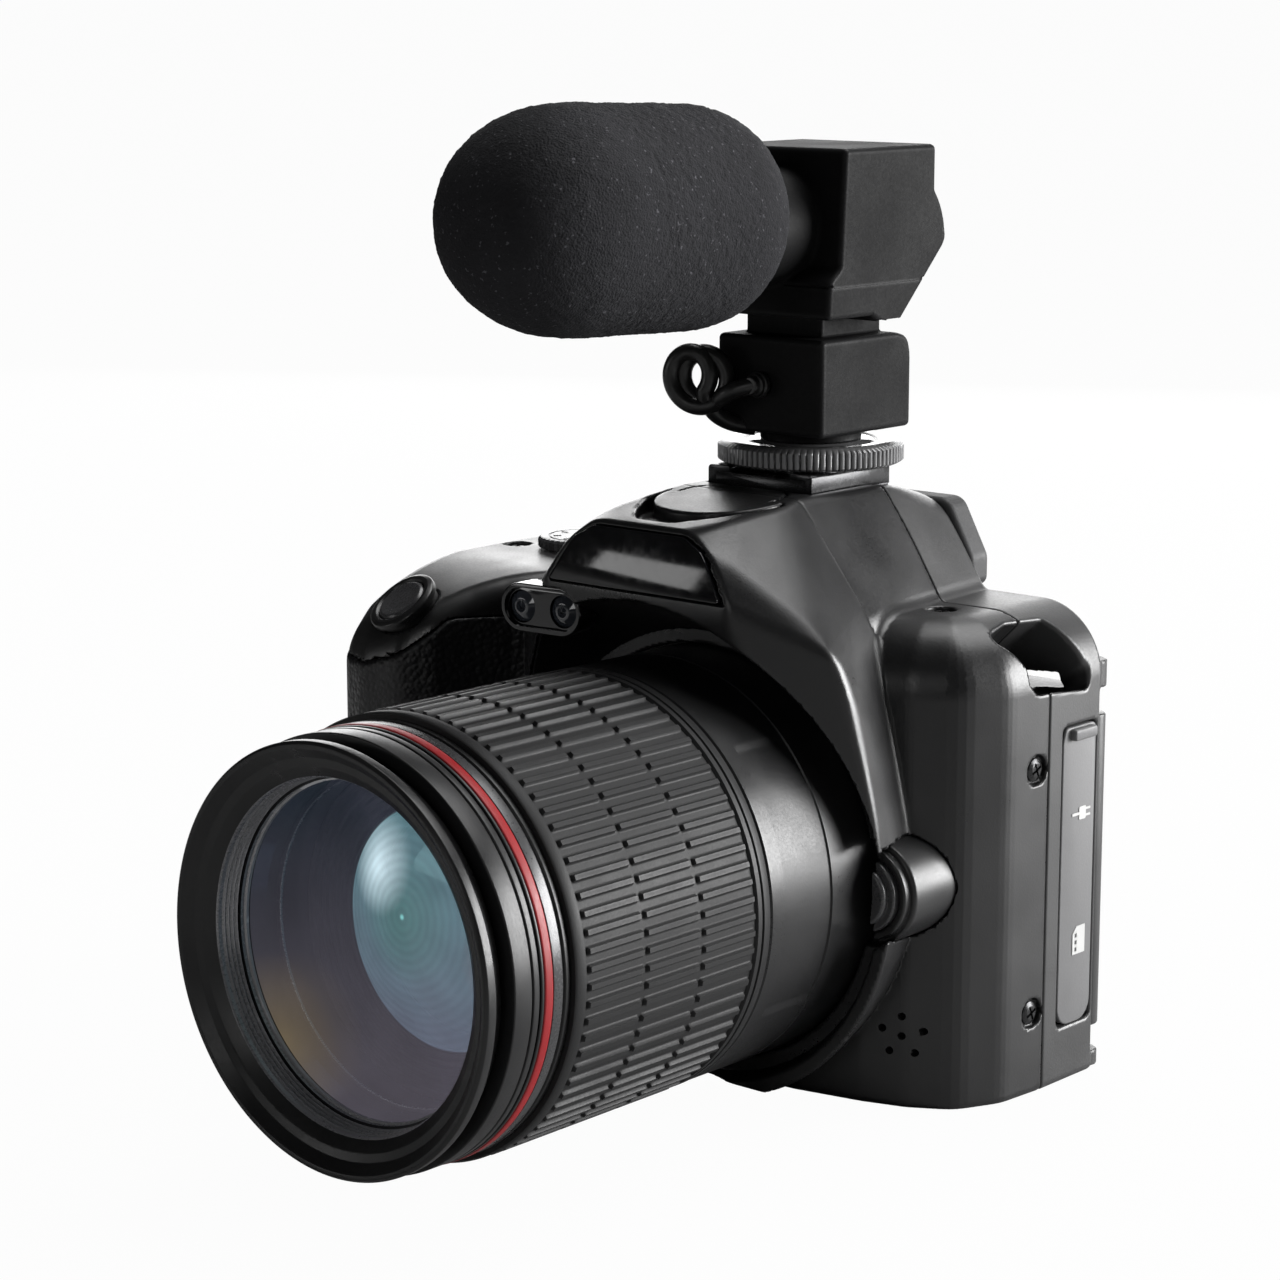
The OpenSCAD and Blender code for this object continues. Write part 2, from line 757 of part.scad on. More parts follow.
module mic_base() {
    color("#18181a") difference() {
        union() {
            rod_z(stem_at[0], stem_at[1], 8.5, neck_z, 107);
            hull() {
                block([-10.8, -9.5, 106.4], [10.8, 14, 112]);
                block([-10.8, -9.5, 112], [10.8, 12, 122.2]);
                translate([-10.8, 10.5, 118.7]) rotate([0, 90, 0]) cylinder(r = 3.5, h = 21.6, $fn = 32);
            }
            block([-8, -6, 122], [8, 10, 126.1]);
        }
        rod_z(stem_at[0], stem_at[1], 2, 104, 108);
        rod_y(-1.3, 114.5, 1.7, -10, -3);
        block([-5, 12.6, 107.6], [4, 16, 110.6]);
    }
}

module mic_body() {
    color("#18181a") difference() {
        union() {
            hull() {
                block([-14, -13.4, 126.2], [14, 6, 131.5]);
                block([-14, -7.4, 150], [14, 6, 153]);
            }
            hull() {
                block([-14, 5, 126.2], [14, 9, 153]);
                block([-14, 5, 136], [14, 16.6, 152.6]);
                translate([-14, 6.4, 139.8]) rotate([0, 90, 0]) cylinder(r = 13.3, h = 28, $fn = 64);
            }
            rod_y(0, capsule_z, 9.5, -40, -8);
        }
        rod_y(0, capsule_z, 7, -50, -12);
    }
}

module mic_capsule() {
    color("#808086") rod_y(0, capsule_z, 6.9, -39, -20);
}

// points of a blunt rounded end, from the tip on the axis to the full radius
function blunt_end(r, len, steps = 10) = [for (i = [0:steps]) let (a = 90 * i / steps)
    [r * pow(sin(a), 0.88), len * (1 - pow(cos(a), 0.88))]];

module windscreen() {
    foam_back = -14.9;
    lift = 2.6;
    front = blunt_end(foam_r, 23);
    rear = [for (p = blunt_end(foam_r, 14)) [p[0], foam_len - p[1]]];
    color("#1b1b1d") difference() {
        translate([0, foam_back - foam_len / 2, foam_z]) rotate([-90 - lift, 0, 0])
            translate([0, 0, -foam_len / 2]) rotate_extrude($fn = 72)
                polygon(concat(front, [for (i = [10:-1:0]) rear[i]]));
        rod_y(0, capsule_z, 9.6, -45, 0);
        block([-14.2, -13.8, foam_z - 22], [14.2, 0, 153.2]);
    }
}

// the lead leaves the front of the base block, loops twice and goes back under the block
lead_r = 1.35;
lead_steps = 44;
function lead_point(t) = let (a = 720 * t + 60)
    [-4 - 9.5 * sin(180 * t) - 4.3 * (1 - cos(a)) * sin(180 * t) * 0.6 + 0.6,
     -12.6 - 2.6 * sin(180 * t) + 1.6 * cos(a),
     114.4 + 4.6 * sin(a) * sin(180 * t)];

module mic_cable() {
    color("#0e0e0f") {
        rod_y(-1.3, 114.5, 1.6, -11.5, -3.2);
        for (i = [0:lead_steps - 1]) hull() {
            translate(lead_point(i / lead_steps)) sphere(r = lead_r, $fn = 8);
            translate(lead_point((i + 1) / lead_steps)) sphere(r = lead_r, $fn = 8);
        }
    }
}

module mic_switch() {
    color("#5a5a5e") block([-4.9, 12.7, 107.7], [-1.4, 14.7, 110.5]);
}

front_cover();
rear_cover();
grip_skin();
name_badge();
accessory_shoe();
eyecup();
eyepiece_glass();
lamp_bezel();
lamp_lenses();
strap_pin();
shutter_collar();
shutter_button();
mode_dial();
release_housing();
release_button();
port_door();
port_sockets();
memory_card();
battery();
battery_door();
door_pin();
main_board();
sensor_board();
image_sensor();
speaker();
chassis();
tripod_socket();
case_screws();
screen_housing();
screen_panel();
screen_pins();
power_button();
menu_button();
play_button();
pad_ring();
ok_button();
front_bezel();
front_element();
focus_ring();
lens_tube();
accent_ring();
zoom_ring();
lens_barrel();
focus_cell();
focus_element();
aperture_plate();
zoom_cell();
zoom_element();
mic_foot();
lock_wheel();
mic_base();
mic_body();
mic_capsule();
windscreen();
mic_cable();
mic_switch();
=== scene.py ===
"""A camera with a zoom lens and a shoe-mounted microphone, dressed around its CAD frame."""

import json
import math

import bmesh
import bpy
import numpy as np
from mathutils import Matrix, Vector

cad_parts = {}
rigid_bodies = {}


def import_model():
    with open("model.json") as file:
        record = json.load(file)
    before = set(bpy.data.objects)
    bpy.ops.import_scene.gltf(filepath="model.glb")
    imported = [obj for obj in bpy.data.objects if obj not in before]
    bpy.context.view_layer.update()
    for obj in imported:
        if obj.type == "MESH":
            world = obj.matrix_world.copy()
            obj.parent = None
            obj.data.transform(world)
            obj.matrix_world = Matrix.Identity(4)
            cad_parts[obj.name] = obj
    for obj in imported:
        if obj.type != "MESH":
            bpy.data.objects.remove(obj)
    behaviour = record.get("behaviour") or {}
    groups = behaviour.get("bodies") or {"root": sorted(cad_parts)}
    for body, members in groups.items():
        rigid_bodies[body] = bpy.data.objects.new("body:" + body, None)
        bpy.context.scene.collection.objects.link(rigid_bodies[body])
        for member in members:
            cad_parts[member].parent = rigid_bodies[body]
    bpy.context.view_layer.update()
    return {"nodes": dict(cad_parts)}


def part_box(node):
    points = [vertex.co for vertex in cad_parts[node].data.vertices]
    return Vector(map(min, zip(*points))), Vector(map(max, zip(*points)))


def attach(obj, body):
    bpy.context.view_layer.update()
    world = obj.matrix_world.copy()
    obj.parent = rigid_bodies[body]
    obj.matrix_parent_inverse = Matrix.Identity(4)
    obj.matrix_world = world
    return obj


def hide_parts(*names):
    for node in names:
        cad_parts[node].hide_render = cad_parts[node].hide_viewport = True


for leftover in list(bpy.data.objects):
    bpy.data.objects.remove(leftover)
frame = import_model()
MM = 0.001


def low(node):
    """Lowest corner of a CAD node in millimetres."""
    return [round(v / MM, 4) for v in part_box(node)[0]]


def high(node):
    """Highest corner of a CAD node in millimetres."""
    return [round(v / MM, 4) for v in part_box(node)[1]]


# ---------- places taken from the CAD frame, in millimetres ----------

AXIS_Z = (low("front_bezel")[2] + high("front_bezel")[2]) / 2
RIM_Y = low("front_bezel")[1]
SIDE_X = high("front_cover")[0]
GRIP_X = low("rear_cover")[0]
SPLIT_Y = high("front_cover")[1]
TOP_RIGHT = 79.5
TOP_LEFT = 82.0
GAP = 0.1
BODY_STEP = 0.5

# ---------- small geometry library ----------


def new_object(name, mesh):
    obj = bpy.data.objects.new(name, mesh)
    bpy.context.scene.collection.objects.link(obj)
    return obj


def mesh_from(name, points_mm, faces, smooth_angle=None):
    """An object from points in millimetres; edges sharper than smooth_angle stay crisp."""
    mesh = bpy.data.meshes.new(name)
    mesh.from_pydata((np.asarray(points_mm, float) * MM).tolist(), [], faces)
    mesh.validate()
    obj = new_object(name, mesh)
    if smooth_angle is not None:
        mesh.shade_smooth()
        mesh.set_sharp_from_angle(angle=math.radians(smooth_angle))
    return obj


def finish_piece(obj, body, material, replaces=()):
    """Gives a piece its material and its body, and hides the CAD nodes it stands for."""
    obj.data.materials.clear()
    for m in material if isinstance(material, (list, tuple)) else [material]:
        obj.data.materials.append(m)
    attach(obj, body)
    if replaces:
        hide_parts(*replaces)
    return obj


def fillet(points, steps=5):
    """A polygon whose corners (x, y, radius) are rounded into arcs."""
    out = []
    count = len(points)
    for i, corner in enumerate(points):
        p = np.array(corner[:2], float)
        r = corner[2] if len(corner) > 2 else 0
        a = np.array(points[i - 1][:2], float) - p
        b = np.array(points[(i + 1) % count][:2], float) - p
        la, lb = np.linalg.norm(a), np.linalg.norm(b)
        a, b = a / la, b / lb
        turn = math.acos(max(-1, min(1, float(a @ b))))
        if r <= 0 or turn > math.pi - 0.02:
            out.append((float(p[0]), float(p[1])))
            continue
        reach = min(r / math.tan(turn / 2), 0.49 * la, 0.49 * lb)
        r = reach * math.tan(turn / 2)
        centre = p + (a + b) / np.linalg.norm(a + b) * r / math.sin(turn / 2)
        start, end = p + a * reach - centre, p + b * reach - centre
        angle0, angle1 = math.atan2(start[1], start[0]), math.atan2(end[1], end[0])
        sweep = (angle1 - angle0 + math.pi) % (2 * math.pi) - math.pi
        for k in range(steps + 1):
            t = angle0 + sweep * k / steps
            out.append((float(centre[0] + r * math.cos(t)), float(centre[1] + r * math.sin(t))))
    return out


def lathe(name, profile, segments=192, centre=(0, 0), axis="lens", smooth=35, steps=4, closed=True):
    """Turns a profile of (radius, along, corner radius) about the lens axis or a vertical one."""
    ring = np.array(fillet(profile, steps) if closed else [p[:2] for p in profile], float)
    count = len(ring)
    angles = np.linspace(0, 2 * math.pi, segments, endpoint=False)
    r, d = ring[:, 0][:, None], ring[:, 1][:, None]
    c, s = np.cos(angles)[None, :], np.sin(angles)[None, :]
    along = d + 0 * c
    if axis == "lens":
        points = np.stack([r * c + centre[0], RIM_Y + along, r * s + AXIS_Z + centre[1]], -1)
    elif axis == "y":
        points = np.stack([r * c + centre[0], along, r * s + centre[1]], -1)
    else:
        points = np.stack([r * s + centre[0], r * c + centre[1], along], -1)
    faces = []
    last = count if closed else count - 1
    for i in range(last):
        j = (i + 1) % count
        for k in range(segments):
            n = (k + 1) % segments
            faces.append((i * segments + k, j * segments + k, j * segments + n, i * segments + n))
    obj = mesh_from(name, points.reshape(-1, 3), faces)
    clean(obj)
    obj.data.shade_smooth()
    obj.data.set_sharp_from_angle(angle=math.radians(smooth))
    return obj


def clean(obj, distance=0.002):
    """Merges doubled points, drops empty faces and turns the faces outwards."""
    bm = bmesh.new()
    bm.from_mesh(obj.data)
    bmesh.ops.remove_doubles(bm, verts=bm.verts, dist=distance * MM)
    bmesh.ops.dissolve_degenerate(bm, edges=bm.edges, dist=distance * MM * 0.5)
    bmesh.ops.recalc_face_normals(bm, faces=bm.faces)
    bm.to_mesh(obj.data)
    bm.free()


def slab(name, outline, axis, start, end, bevel=0.4, segments=3, smooth=40, holes=()):
    """An outline in the plane across an axis, drawn out from start to end, its edges bevelled."""
    bm = bmesh.new()
    place = {"x": lambda u, v, w: (w, u, v), "y": lambda u, v, w: (u, w, v), "z": lambda u, v, w: (u, v, w)}[axis]
    for w in (start, end):
        bm.faces.new([bm.verts.new(Vector(place(u, v, w)) * MM) for u, v in outline])
    count = len(outline)
    bm.verts.ensure_lookup_table()
    for i in range(count):
        j = (i + 1) % count
        bm.faces.new([bm.verts[i], bm.verts[j], bm.verts[count + j], bm.verts[count + i]])
    bmesh.ops.recalc_face_normals(bm, faces=bm.faces)
    if bevel:
        sharp = [e for e in bm.edges if e.calc_face_angle(0) > math.radians(30)]
        bmesh.ops.bevel(bm, geom=sharp, offset=bevel * MM, segments=segments, profile=0.5, affect="EDGES", clamp_overlap=True)
    mesh = bpy.data.meshes.new(name)
    bm.to_mesh(mesh)
    bm.free()
    obj = new_object(name, mesh)
    mesh.shade_smooth()
    mesh.set_sharp_from_angle(angle=math.radians(smooth))
    return obj


def rect(x0, y0, x1, y1, r=0.0, steps=5):
    return fillet([(x0, y0, r), (x1, y0, r), (x1, y1, r), (x0, y1, r)], steps)


def cut(obj, *tools, solver="EXACT"):
    """Cuts tools out of an object and throws the tools away."""
    for tool in tools:
        mod = obj.modifiers.new("cut", "BOOLEAN")
        mod.operation = "DIFFERENCE"
        mod.solver = solver
        mod.object = tool
        bake(obj)
        bpy.data.objects.remove(tool)
    return obj


def bake(obj):
    """Applies an object's modifiers to its mesh."""
    graph = bpy.context.evaluated_depsgraph_get()
    mesh = bpy.data.meshes.new_from_object(obj.evaluated_get(graph))
    old = obj.data
    obj.modifiers.clear()
    obj.data = mesh
    mesh.name = old.name
    bpy.data.meshes.remove(old)


def join(name, objects):
    """One object from several."""
    bm = bmesh.new()
    for o in objects:
        bm.from_mesh(o.data)
    mesh = bpy.data.meshes.new(name)
    bm.to_mesh(mesh)
    bm.free()
    for o in objects:
        bpy.data.objects.remove(o)
    obj = new_object(name, mesh)
    mesh.shade_smooth()
    mesh.set_sharp_from_angle(angle=math.radians(35))
    return obj


# ---------- signed distance fields, in millimetres ----------


def rmax(a, b, r):
    """Intersection of two fields with its edge rounded to radius r."""
    u, v = np.maximum(a + r, 0), np.maximum(b + r, 0)
    return np.minimum(-r, np.maximum(a, b)) + np.sqrt(u * u + v * v)


def rmin(a, b, r):
    """Union of two fields with its inner corner filleted to radius r."""
    return -rmax(-a, -b, r)


def polygon_field(x, y, points):
    """Signed distance to a closed polygon."""
    best, inside = None, None
    count = len(points)
    for i in range(count):
        a, b = points[i], points[(i + 1) % count]
        ex, ey = b[0] - a[0], b[1] - a[1]
        wx, wy = x - a[0], y - a[1]
        t = np.clip((wx * ex + wy * ey) / (ex * ex + ey * ey + 1e-12), 0, 1)
        d = (wx - ex * t) ** 2 + (wy - ey * t) ** 2
        above, below, left = y >= a[1], y < b[1], ex * wy > ey * wx
        flip = (above & below & left) | (~above & ~below & ~left)
        best = d if best is None else np.minimum(best, d)
        inside = flip if inside is None else inside ^ flip
    return np.where(inside, -1.0, 1.0) * np.sqrt(best)


def hull_planes(points):
    """Outward planes (normal, offset) of a convex hull."""
    bm = bmesh.new()
    for p in points:
        bm.verts.new(p)
    bmesh.ops.convex_hull(bm, input=bm.verts)
    found = []
    for f in bm.faces:
        n = Vector(f.normal)
        d = n.dot(f.verts[0].co)
        if n.dot(Vector(np.mean(points, 0))) > d:
            n, d = -n, -d
        if not any(n.dot(m) > 0.9995 and abs(d - e) < 0.05 for m, e in found):
            found.append((n, d))
    bm.free()
    return [(tuple(n), d) for n, d in found]


def planes_field(x, y, z, planes, r):
    field = None
    for n, d in planes:
        one = n[0] * x + n[1] * y + n[2] * z - d
        field = one if field is None else rmax(field, one, r)
    return field


def box_field(x, y, z, lowest, highest, r=0.3):
    centre = [(a + b) / 2 for a, b in zip(lowest, highest)]
    half = [(b - a) / 2 - r for a, b in zip(lowest, highest)]
    dx, dy, dz = (np.abs(v - c) - h for v, c, h in zip((x, y, z), centre, half))
    outside = np.sqrt(np.maximum(dx, 0) ** 2 + np.maximum(dy, 0) ** 2 + np.maximum(dz, 0) ** 2)
    return outside + np.minimum(np.maximum(dx, np.maximum(dy, dz)), 0) - r


def carve(body, x, y, z, opening, r, lowest, highest):
    """Removes an opening from a field, working only inside the box that holds it."""
    reach = 1.5
    if body.ndim == 3:
        span = []
        for v, a, b in zip((x, y, z), lowest, highest):
            hit = np.nonzero((v.ravel() > a - reach) & (v.ravel() < b + reach))[0]
            if not len(hit):
                return body
            span.append(slice(hit[0], hit[-1] + 1))
        span = tuple(span)
        part = opening(x[span[0]], y[:, span[1]], z[:, :, span[2]])
    else:
        span = np.ones(len(body), bool)
        for v, a, b in zip((x, y, z), lowest, highest):
            span &= (v > a - reach) & (v < b + reach)
        if not span.any():
            return body
        part = opening(x[span], y[span], z[span])
    body[span] = rmax(body[span], -part, r)
    return body


def field_mesh(name, field, lowest, highest, step, passes=2):
    """A closed mesh of where a field is zero: surface nets, then each point is moved onto the surface."""
    axes = [np.arange(a, b + step, step, dtype=np.float32) for a, b in zip(lowest, highest)]
    x, y, z = axes[0][:, None, None], axes[1][None, :, None], axes[2][None, None, :]
    size = tuple(len(a) for a in axes)
    v = np.broadcast_to(field(x, y, z), size).astype(np.float32)
    inside = v < 0
    corners = [(i, j, k) for i in (0, 1) for j in (0, 1) for k in (0, 1)]
    total = sum(inside[i:size[0] - 1 + i, j:size[1] - 1 + j, k:size[2] - 1 + k].astype(np.int8) for i, j, k in corners)
    active = (total > 0) & (total < 8)
    cells = np.argwhere(active)
    index = np.full(active.shape, -1, np.int64)
    index[active] = np.arange(len(cells))
    place, hits = np.zeros((len(cells), 3)), np.zeros(len(cells))
    for corner in corners:
        for axis in range(3):
            if corner[axis]:
                continue
            other = list(corner)
            other[axis] = 1
            a = v[tuple((cells + corner).T)]
            b = v[tuple((cells + other).T)]
            cross = (a < 0) != (b < 0)
            t = a[cross] / (a[cross] - b[cross])
            p = (cells[cross] + corner).astype(float)
            p[:, axis] += t
            place[cross] += p
            hits[cross] += 1
    place = place / hits[:, None] * step + np.array(lowest)
    quads = []
    for axis in range(3):
        u, w = (axis + 1) % 3, (axis + 2) % 3
        near, far = [slice(1, -1)] * 3, [slice(1, -1)] * 3
        near[axis], far[axis] = slice(0, -1), slice(1, None)
        a, b = inside[tuple(near)], inside[tuple(far)]
        for outward in (True, False):
            hit = np.argwhere(a & ~b if outward else ~a & b)
            shift = np.array([1, 1, 1])
            shift[axis] = 0
            base = hit + shift
            eu, ew = np.eye(3, dtype=int)[u], np.eye(3, dtype=int)[w]
            ring = [base, base - eu, base - eu - ew, base - ew]
            ids = np.stack([index[tuple(r.T)] for r in ring], 1)
            quads.append(ids[:, ::-1] if not outward else ids)
    quads = np.concatenate(quads)
    quads = quads[(quads >= 0).all(1)]
    normal = None
    for k in range(passes + 1):
        px, py, pz = place.T
        h = 0.05
        f = field(px, py, pz)
        g = np.stack([field(px + h, py, pz) - f, field(px, py + h, pz) - f, field(px, py, pz + h) - f], 1) / h
        length = np.linalg.norm(g, axis=1) + 1e-9
        normal = g / length[:, None]
        if k < passes:
            push = np.clip(f / length, -0.5 * step, 0.5 * step)
            place = place - normal * push[:, None]
    mesh = bpy.data.meshes.new(name)
    mesh.vertices.add(len(place))
    mesh.vertices.foreach_set("co", (place * MM).astype(np.float32).ravel())
    mesh.loops.add(len(quads) * 4)
    mesh.loops.foreach_set("vertex_index", quads.astype(np.int32).ravel())
    mesh.polygons.add(len(quads))
    mesh.polygons.foreach_set("loop_start", np.arange(len(quads), dtype=np.int32) * 4)
    mesh.update(calc_edges=True)
    mesh.validate()
    mesh.shade_smooth()
    if len(mesh.vertices) == len(normal):
        mesh.normals_split_custom_set_from_vertices(normal.tolist())
    return new_object(name, mesh)


def smoothstep(t):
    t = np.clip(t, 0, 1)
    return t * t * (3 - 2 * t)


def value_noise(points, size, seed=0):
    """Smooth repeatable noise between -1 and 1 at points in millimetres."""
    q = np.asarray(points, float) / size
    base = np.floor(q).astype(np.int64)
    part = q - base
    part = part * part * (3 - 2 * part)
    total = np.zeros(len(q))
    for i in (0, 1):
        for j in (0, 1):
            for k in (0, 1):
                n = (base[:, 0] + i) * 73856093 ^ (base[:, 1] + j) * 19349663 ^ (base[:, 2] + k) * 83492791 ^ seed
                n = (n ^ (n >> 13)) * 1274126177 & 0x7FFFFFFF
                n = (n ^ (n >> 16)) & 0xFFFF
                weight = np.abs(1 - i - part[:, 0]) * np.abs(1 - j - part[:, 1]) * np.abs(1 - k - part[:, 2])
                total += weight * (n / 32767.5 - 1)
    return total


# ---------- materials ----------


class Graph:
    """Short names for building a material's nodes."""

    def __init__(self, name):
        self.mat = bpy.data.materials.new(name)
        self.mat.use_nodes = True
        self.tree = self.mat.node_tree
        self.shader = self.tree.nodes["Principled BSDF"]
        self.where = self.tree.nodes.new("ShaderNodeTexCoord").outputs["Object"]

    def put(self, socket, value):
        if isinstance(value, bpy.types.NodeSocket):
            self.tree.links.new(value, socket)
        else:
            socket.default_value = value

    def node(self, kind, **inputs):
        made = self.tree.nodes.new("ShaderNode" + kind)
        for key, value in inputs.items():
            self.put(made.inputs[key], value)
        return made

    def noise(self, scale, detail=3.0):
        return self.node("TexNoise", Vector=self.where, Scale=scale, Detail=detail).outputs["Fac"]

    def math(self, kind, a, b=0.0, clamp=False):
        made = self.tree.nodes.new("ShaderNodeMath")
        made.operation = kind
        made.use_clamp = clamp
        self.put(made.inputs[0], a)
        self.put(made.inputs[1], b)
        return made.outputs[0]

    def span(self, value, a, b, c, d):
        made = self.tree.nodes.new("ShaderNodeMapRange")
        for socket, v in zip(list(made.inputs)[:5], (value, a, b, c, d)):
            self.put(socket, v)
        return made.outputs[0]

    def blend(self, share, a, b):
        """Colour a turning into colour b."""
        made = self.tree.nodes.new("ShaderNodeMix")
        made.data_type = "RGBA"
        self.put(made.inputs[0], share)
        for socket, c in ((made.inputs[6], a), (made.inputs[7], b)):
            self.put(socket, (*c, 1) if isinstance(c, tuple) else c)
        return made.outputs[2]

    def away(self, x, y, z):
        """Distance in millimetres from a point of the row frame."""
        made = self.tree.nodes.new("ShaderNodeVectorMath")
        made.operation = "DISTANCE"
        self.put(made.inputs[0], self.where)
        made.inputs[1].default_value = (x * MM, y * MM, z * MM)
        return self.math("MULTIPLY", made.outputs["Value"], 1 / MM)

    def along(self, axis, start, end):
        """0 at start to 1 at end along an axis, in millimetres."""
        parts = self.node("SeparateXYZ", Vector=self.where)
        return self.span(parts.outputs[axis], start * MM, end * MM, 0.0, 1.0)

    def finish(self, surface):
        self.tree.links.new(surface, self.tree.nodes["Material Output"].inputs["Surface"])
        self.tree.nodes.remove(self.shader)
        return self.mat


def material(name, colour, rough=0.4, metal=0.0, grain=2500.0, relief=0.02, mottle=0.06, wear_and_sheen=0.15,
             streak=None, cells=None, coat=0.0, spec=0.5, specks=0.0):
    """A moulded, cast or cut surface: fine grain, uneven gloss, lighter edges that stand for wear and, where turned up,
    for painted highlight.

    grain is the noise scale per metre and relief its depth in millimetres; cells gives a pebbled
    skin with painted highlight on the pebble tops and painted shade in the creases between them;
    streak stretches the grain along one axis; specks scatters small light points.
    """
    g = Graph(name)
    if streak:
        g.where = g.node("Mapping", Vector=g.where, Scale=streak).outputs["Vector"]
    fine, broad = g.noise(grain, 4.0), g.noise(90.0)
    height = fine
    if cells:
        cell = g.tree.nodes.new("ShaderNodeTexVoronoi")
        cell.feature = "SMOOTH_F1"
        g.put(cell.inputs["Scale"], cells)
        g.put(cell.inputs["Smoothness"], 0.35)
        g.put(cell.inputs["Vector"], g.where)
        height = g.math("ADD", g.math("MULTIPLY", cell.outputs["Distance"], -1.3), g.math("MULTIPLY", fine, 0.3))
    bump = g.node("Bump", Strength=1.0, Distance=relief * MM, Height=height)
    g.put(g.shader.inputs["Normal"], bump.outputs[0])
    # edges lightened by pointiness: wear on most pieces, painted highlight where the amount is large, as on the thread
    # rings
    edge_wear_and_sheen = g.span(g.tree.nodes.new("ShaderNodeNewGeometry").outputs["Pointiness"], 0.505, 0.56, 0.0, wear_and_sheen)
    light = g.math("ADD", g.span(broad, 0.3, 0.7, 1 - mottle, 1 + mottle), edge_wear_and_sheen)
    if specks:
        light = g.math("ADD", light, g.span(g.noise(grain * 0.6, 1.0), 0.68, 0.75, 0.0, specks))
    if cells:
        # painted highlight on the pebble tops and painted shade in the creases between them
        light = g.math("ADD", light, g.span(cell.outputs["Distance"], 0.0, 0.6, 0.25, -0.35))
    tint = g.tree.nodes.new("ShaderNodeVectorMath")
    tint.operation = "SCALE"
    tint.inputs[0].default_value = colour
    g.put(tint.inputs["Scale"], light)
    g.put(g.shader.inputs["Base Color"], tint.outputs["Vector"])
    uneven = g.math("ADD", g.span(fine, 0.3, 0.7, -0.05, 0.05), g.span(broad, 0.3, 0.7, rough - 0.05, rough + 0.05))
    g.put(g.shader.inputs["Roughness"], g.math("SUBTRACT", uneven, g.math("MULTIPLY", edge_wear_and_sheen, 0.4), True))
    for key, value in (("Metallic", metal), ("Coat Weight", coat), ("Coat Roughness", 0.08), ("Specular IOR Level", spec)):
        g.put(g.shader.inputs[key], value)
    return g.mat


def front_glass_material():
    """Front glass: clear, with painted amber, plum and blue reflections that change across it, glowing under a faint
    gloss.
    """
    g = Graph("front_glass_painted_reflections")
    # painted reflection: amber towards the lower left, plum towards the bottom, dark blue towards the top
    amber = g.span(g.away(-19, RIM_Y + 9, AXIS_Z - 18), 1.0, 14.0, 1.0, 0.0)
    plum = g.along(2, AXIS_Z + 20, AXIS_Z - 22)
    tone = g.blend(plum, (0.006, 0.008, 0.012), (0.040, 0.036, 0.044))
    tone = g.blend(g.math("MULTIPLY", amber, 0.9), tone, (0.078, 0.060, 0.036))
    # the glass glows with this painted reflection colour, though no lamp is there
    painted_reflection_glow = g.node("Emission", Color=tone, Strength=g.span(g.noise(70.0), 0.3, 0.7, 0.75, 1.05))
    gloss = g.node("BsdfGlossy", Color=(0.5, 0.45, 0.6, 1), Roughness=g.span(g.noise(120.0), 0.3, 0.7, 0.02, 0.06))
    clear = g.node("BsdfTransparent", Color=(0.93, 0.95, 0.96, 1))
    facing = g.node("LayerWeight", Blend=0.25)
    both = g.node("AddShader")
    g.put(both.inputs[0], clear.outputs[0])
    g.put(both.inputs[1], painted_reflection_glow.outputs[0])
    mix = g.node("MixShader")
    g.put(mix.inputs[0], g.math("MULTIPLY", facing.outputs["Fresnel"], 0.12))
    g.put(mix.inputs[1], both.outputs[0])
    g.put(mix.inputs[2], gloss.outputs[0])
    return g.finish(mix.outputs[0])


def inner_glass_material():
    """The deeper glass as a glow of painted light: a bright teal tone, darker towards the bottom, painted green and red
    reflections, a painted highlight at the upper left, faint painted rings round its middle and a painted glint at its
    centre.
    """
    g = Graph("inner_glass_painted_glow")
    face = RIM_Y + 20
    # painted shade: the teal tone darkens towards the bottom
    low_z = g.along(2, AXIS_Z + 14, AXIS_Z - 16)
    tone = g.blend(low_z, (0.10, 0.21, 0.23), (0.070, 0.095, 0.130))
    centre = g.away(-4, face, AXIS_Z + 2)
    # painted reflections: a green patch about the middle and a red patch towards the right
    green = g.span(centre, 2.0, 11.0, 0.75, 0.0)
    tone = g.blend(green, tone, (0.05, 0.17, 0.15))
    red = g.span(g.away(17, face, AXIS_Z - 3), 2.0, 9.5, 1.0, 0.0)
    tone = g.blend(red, tone, (0.115, 0.070, 0.072))
    # painted highlight towards the upper left
    painted_highlight = g.span(g.away(-11, face + 1, AXIS_Z + 9), 1.0, 8.5, 1.0, 0.0)
    tone = g.blend(g.math("POWER", painted_highlight, 1.3), tone, (0.85, 1.05, 1.12))
    # painted rings round the middle, and a painted glint at the centre
    ring = g.math("SINE", g.math("MULTIPLY", centre, 4.2))
    rings = g.span(ring, -1.0, 1.0, 0.93, 1.07)
    dot = g.span(centre, 0.2, 0.55, 3.0, 0.0)
    power = g.math("ADD", g.math("MULTIPLY", rings, g.span(g.noise(150.0), 0.3, 0.7, 0.85, 1.1)), dot)
    # the whole glass glows with this painted light, though no lamp is there
    glow = g.node("Emission", Color=tone, Strength=power)
    gloss = g.node("BsdfGlossy", Color=(0.5, 0.8, 0.8, 1), Roughness=g.span(g.noise(200.0), 0.3, 0.7, 0.04, 0.09))
    mix = g.node("MixShader", Fac=0.05)
    g.put(mix.inputs[1], glow.outputs[0])
    g.put(mix.inputs[2], gloss.outputs[0])
    return g.finish(mix.outputs[0])


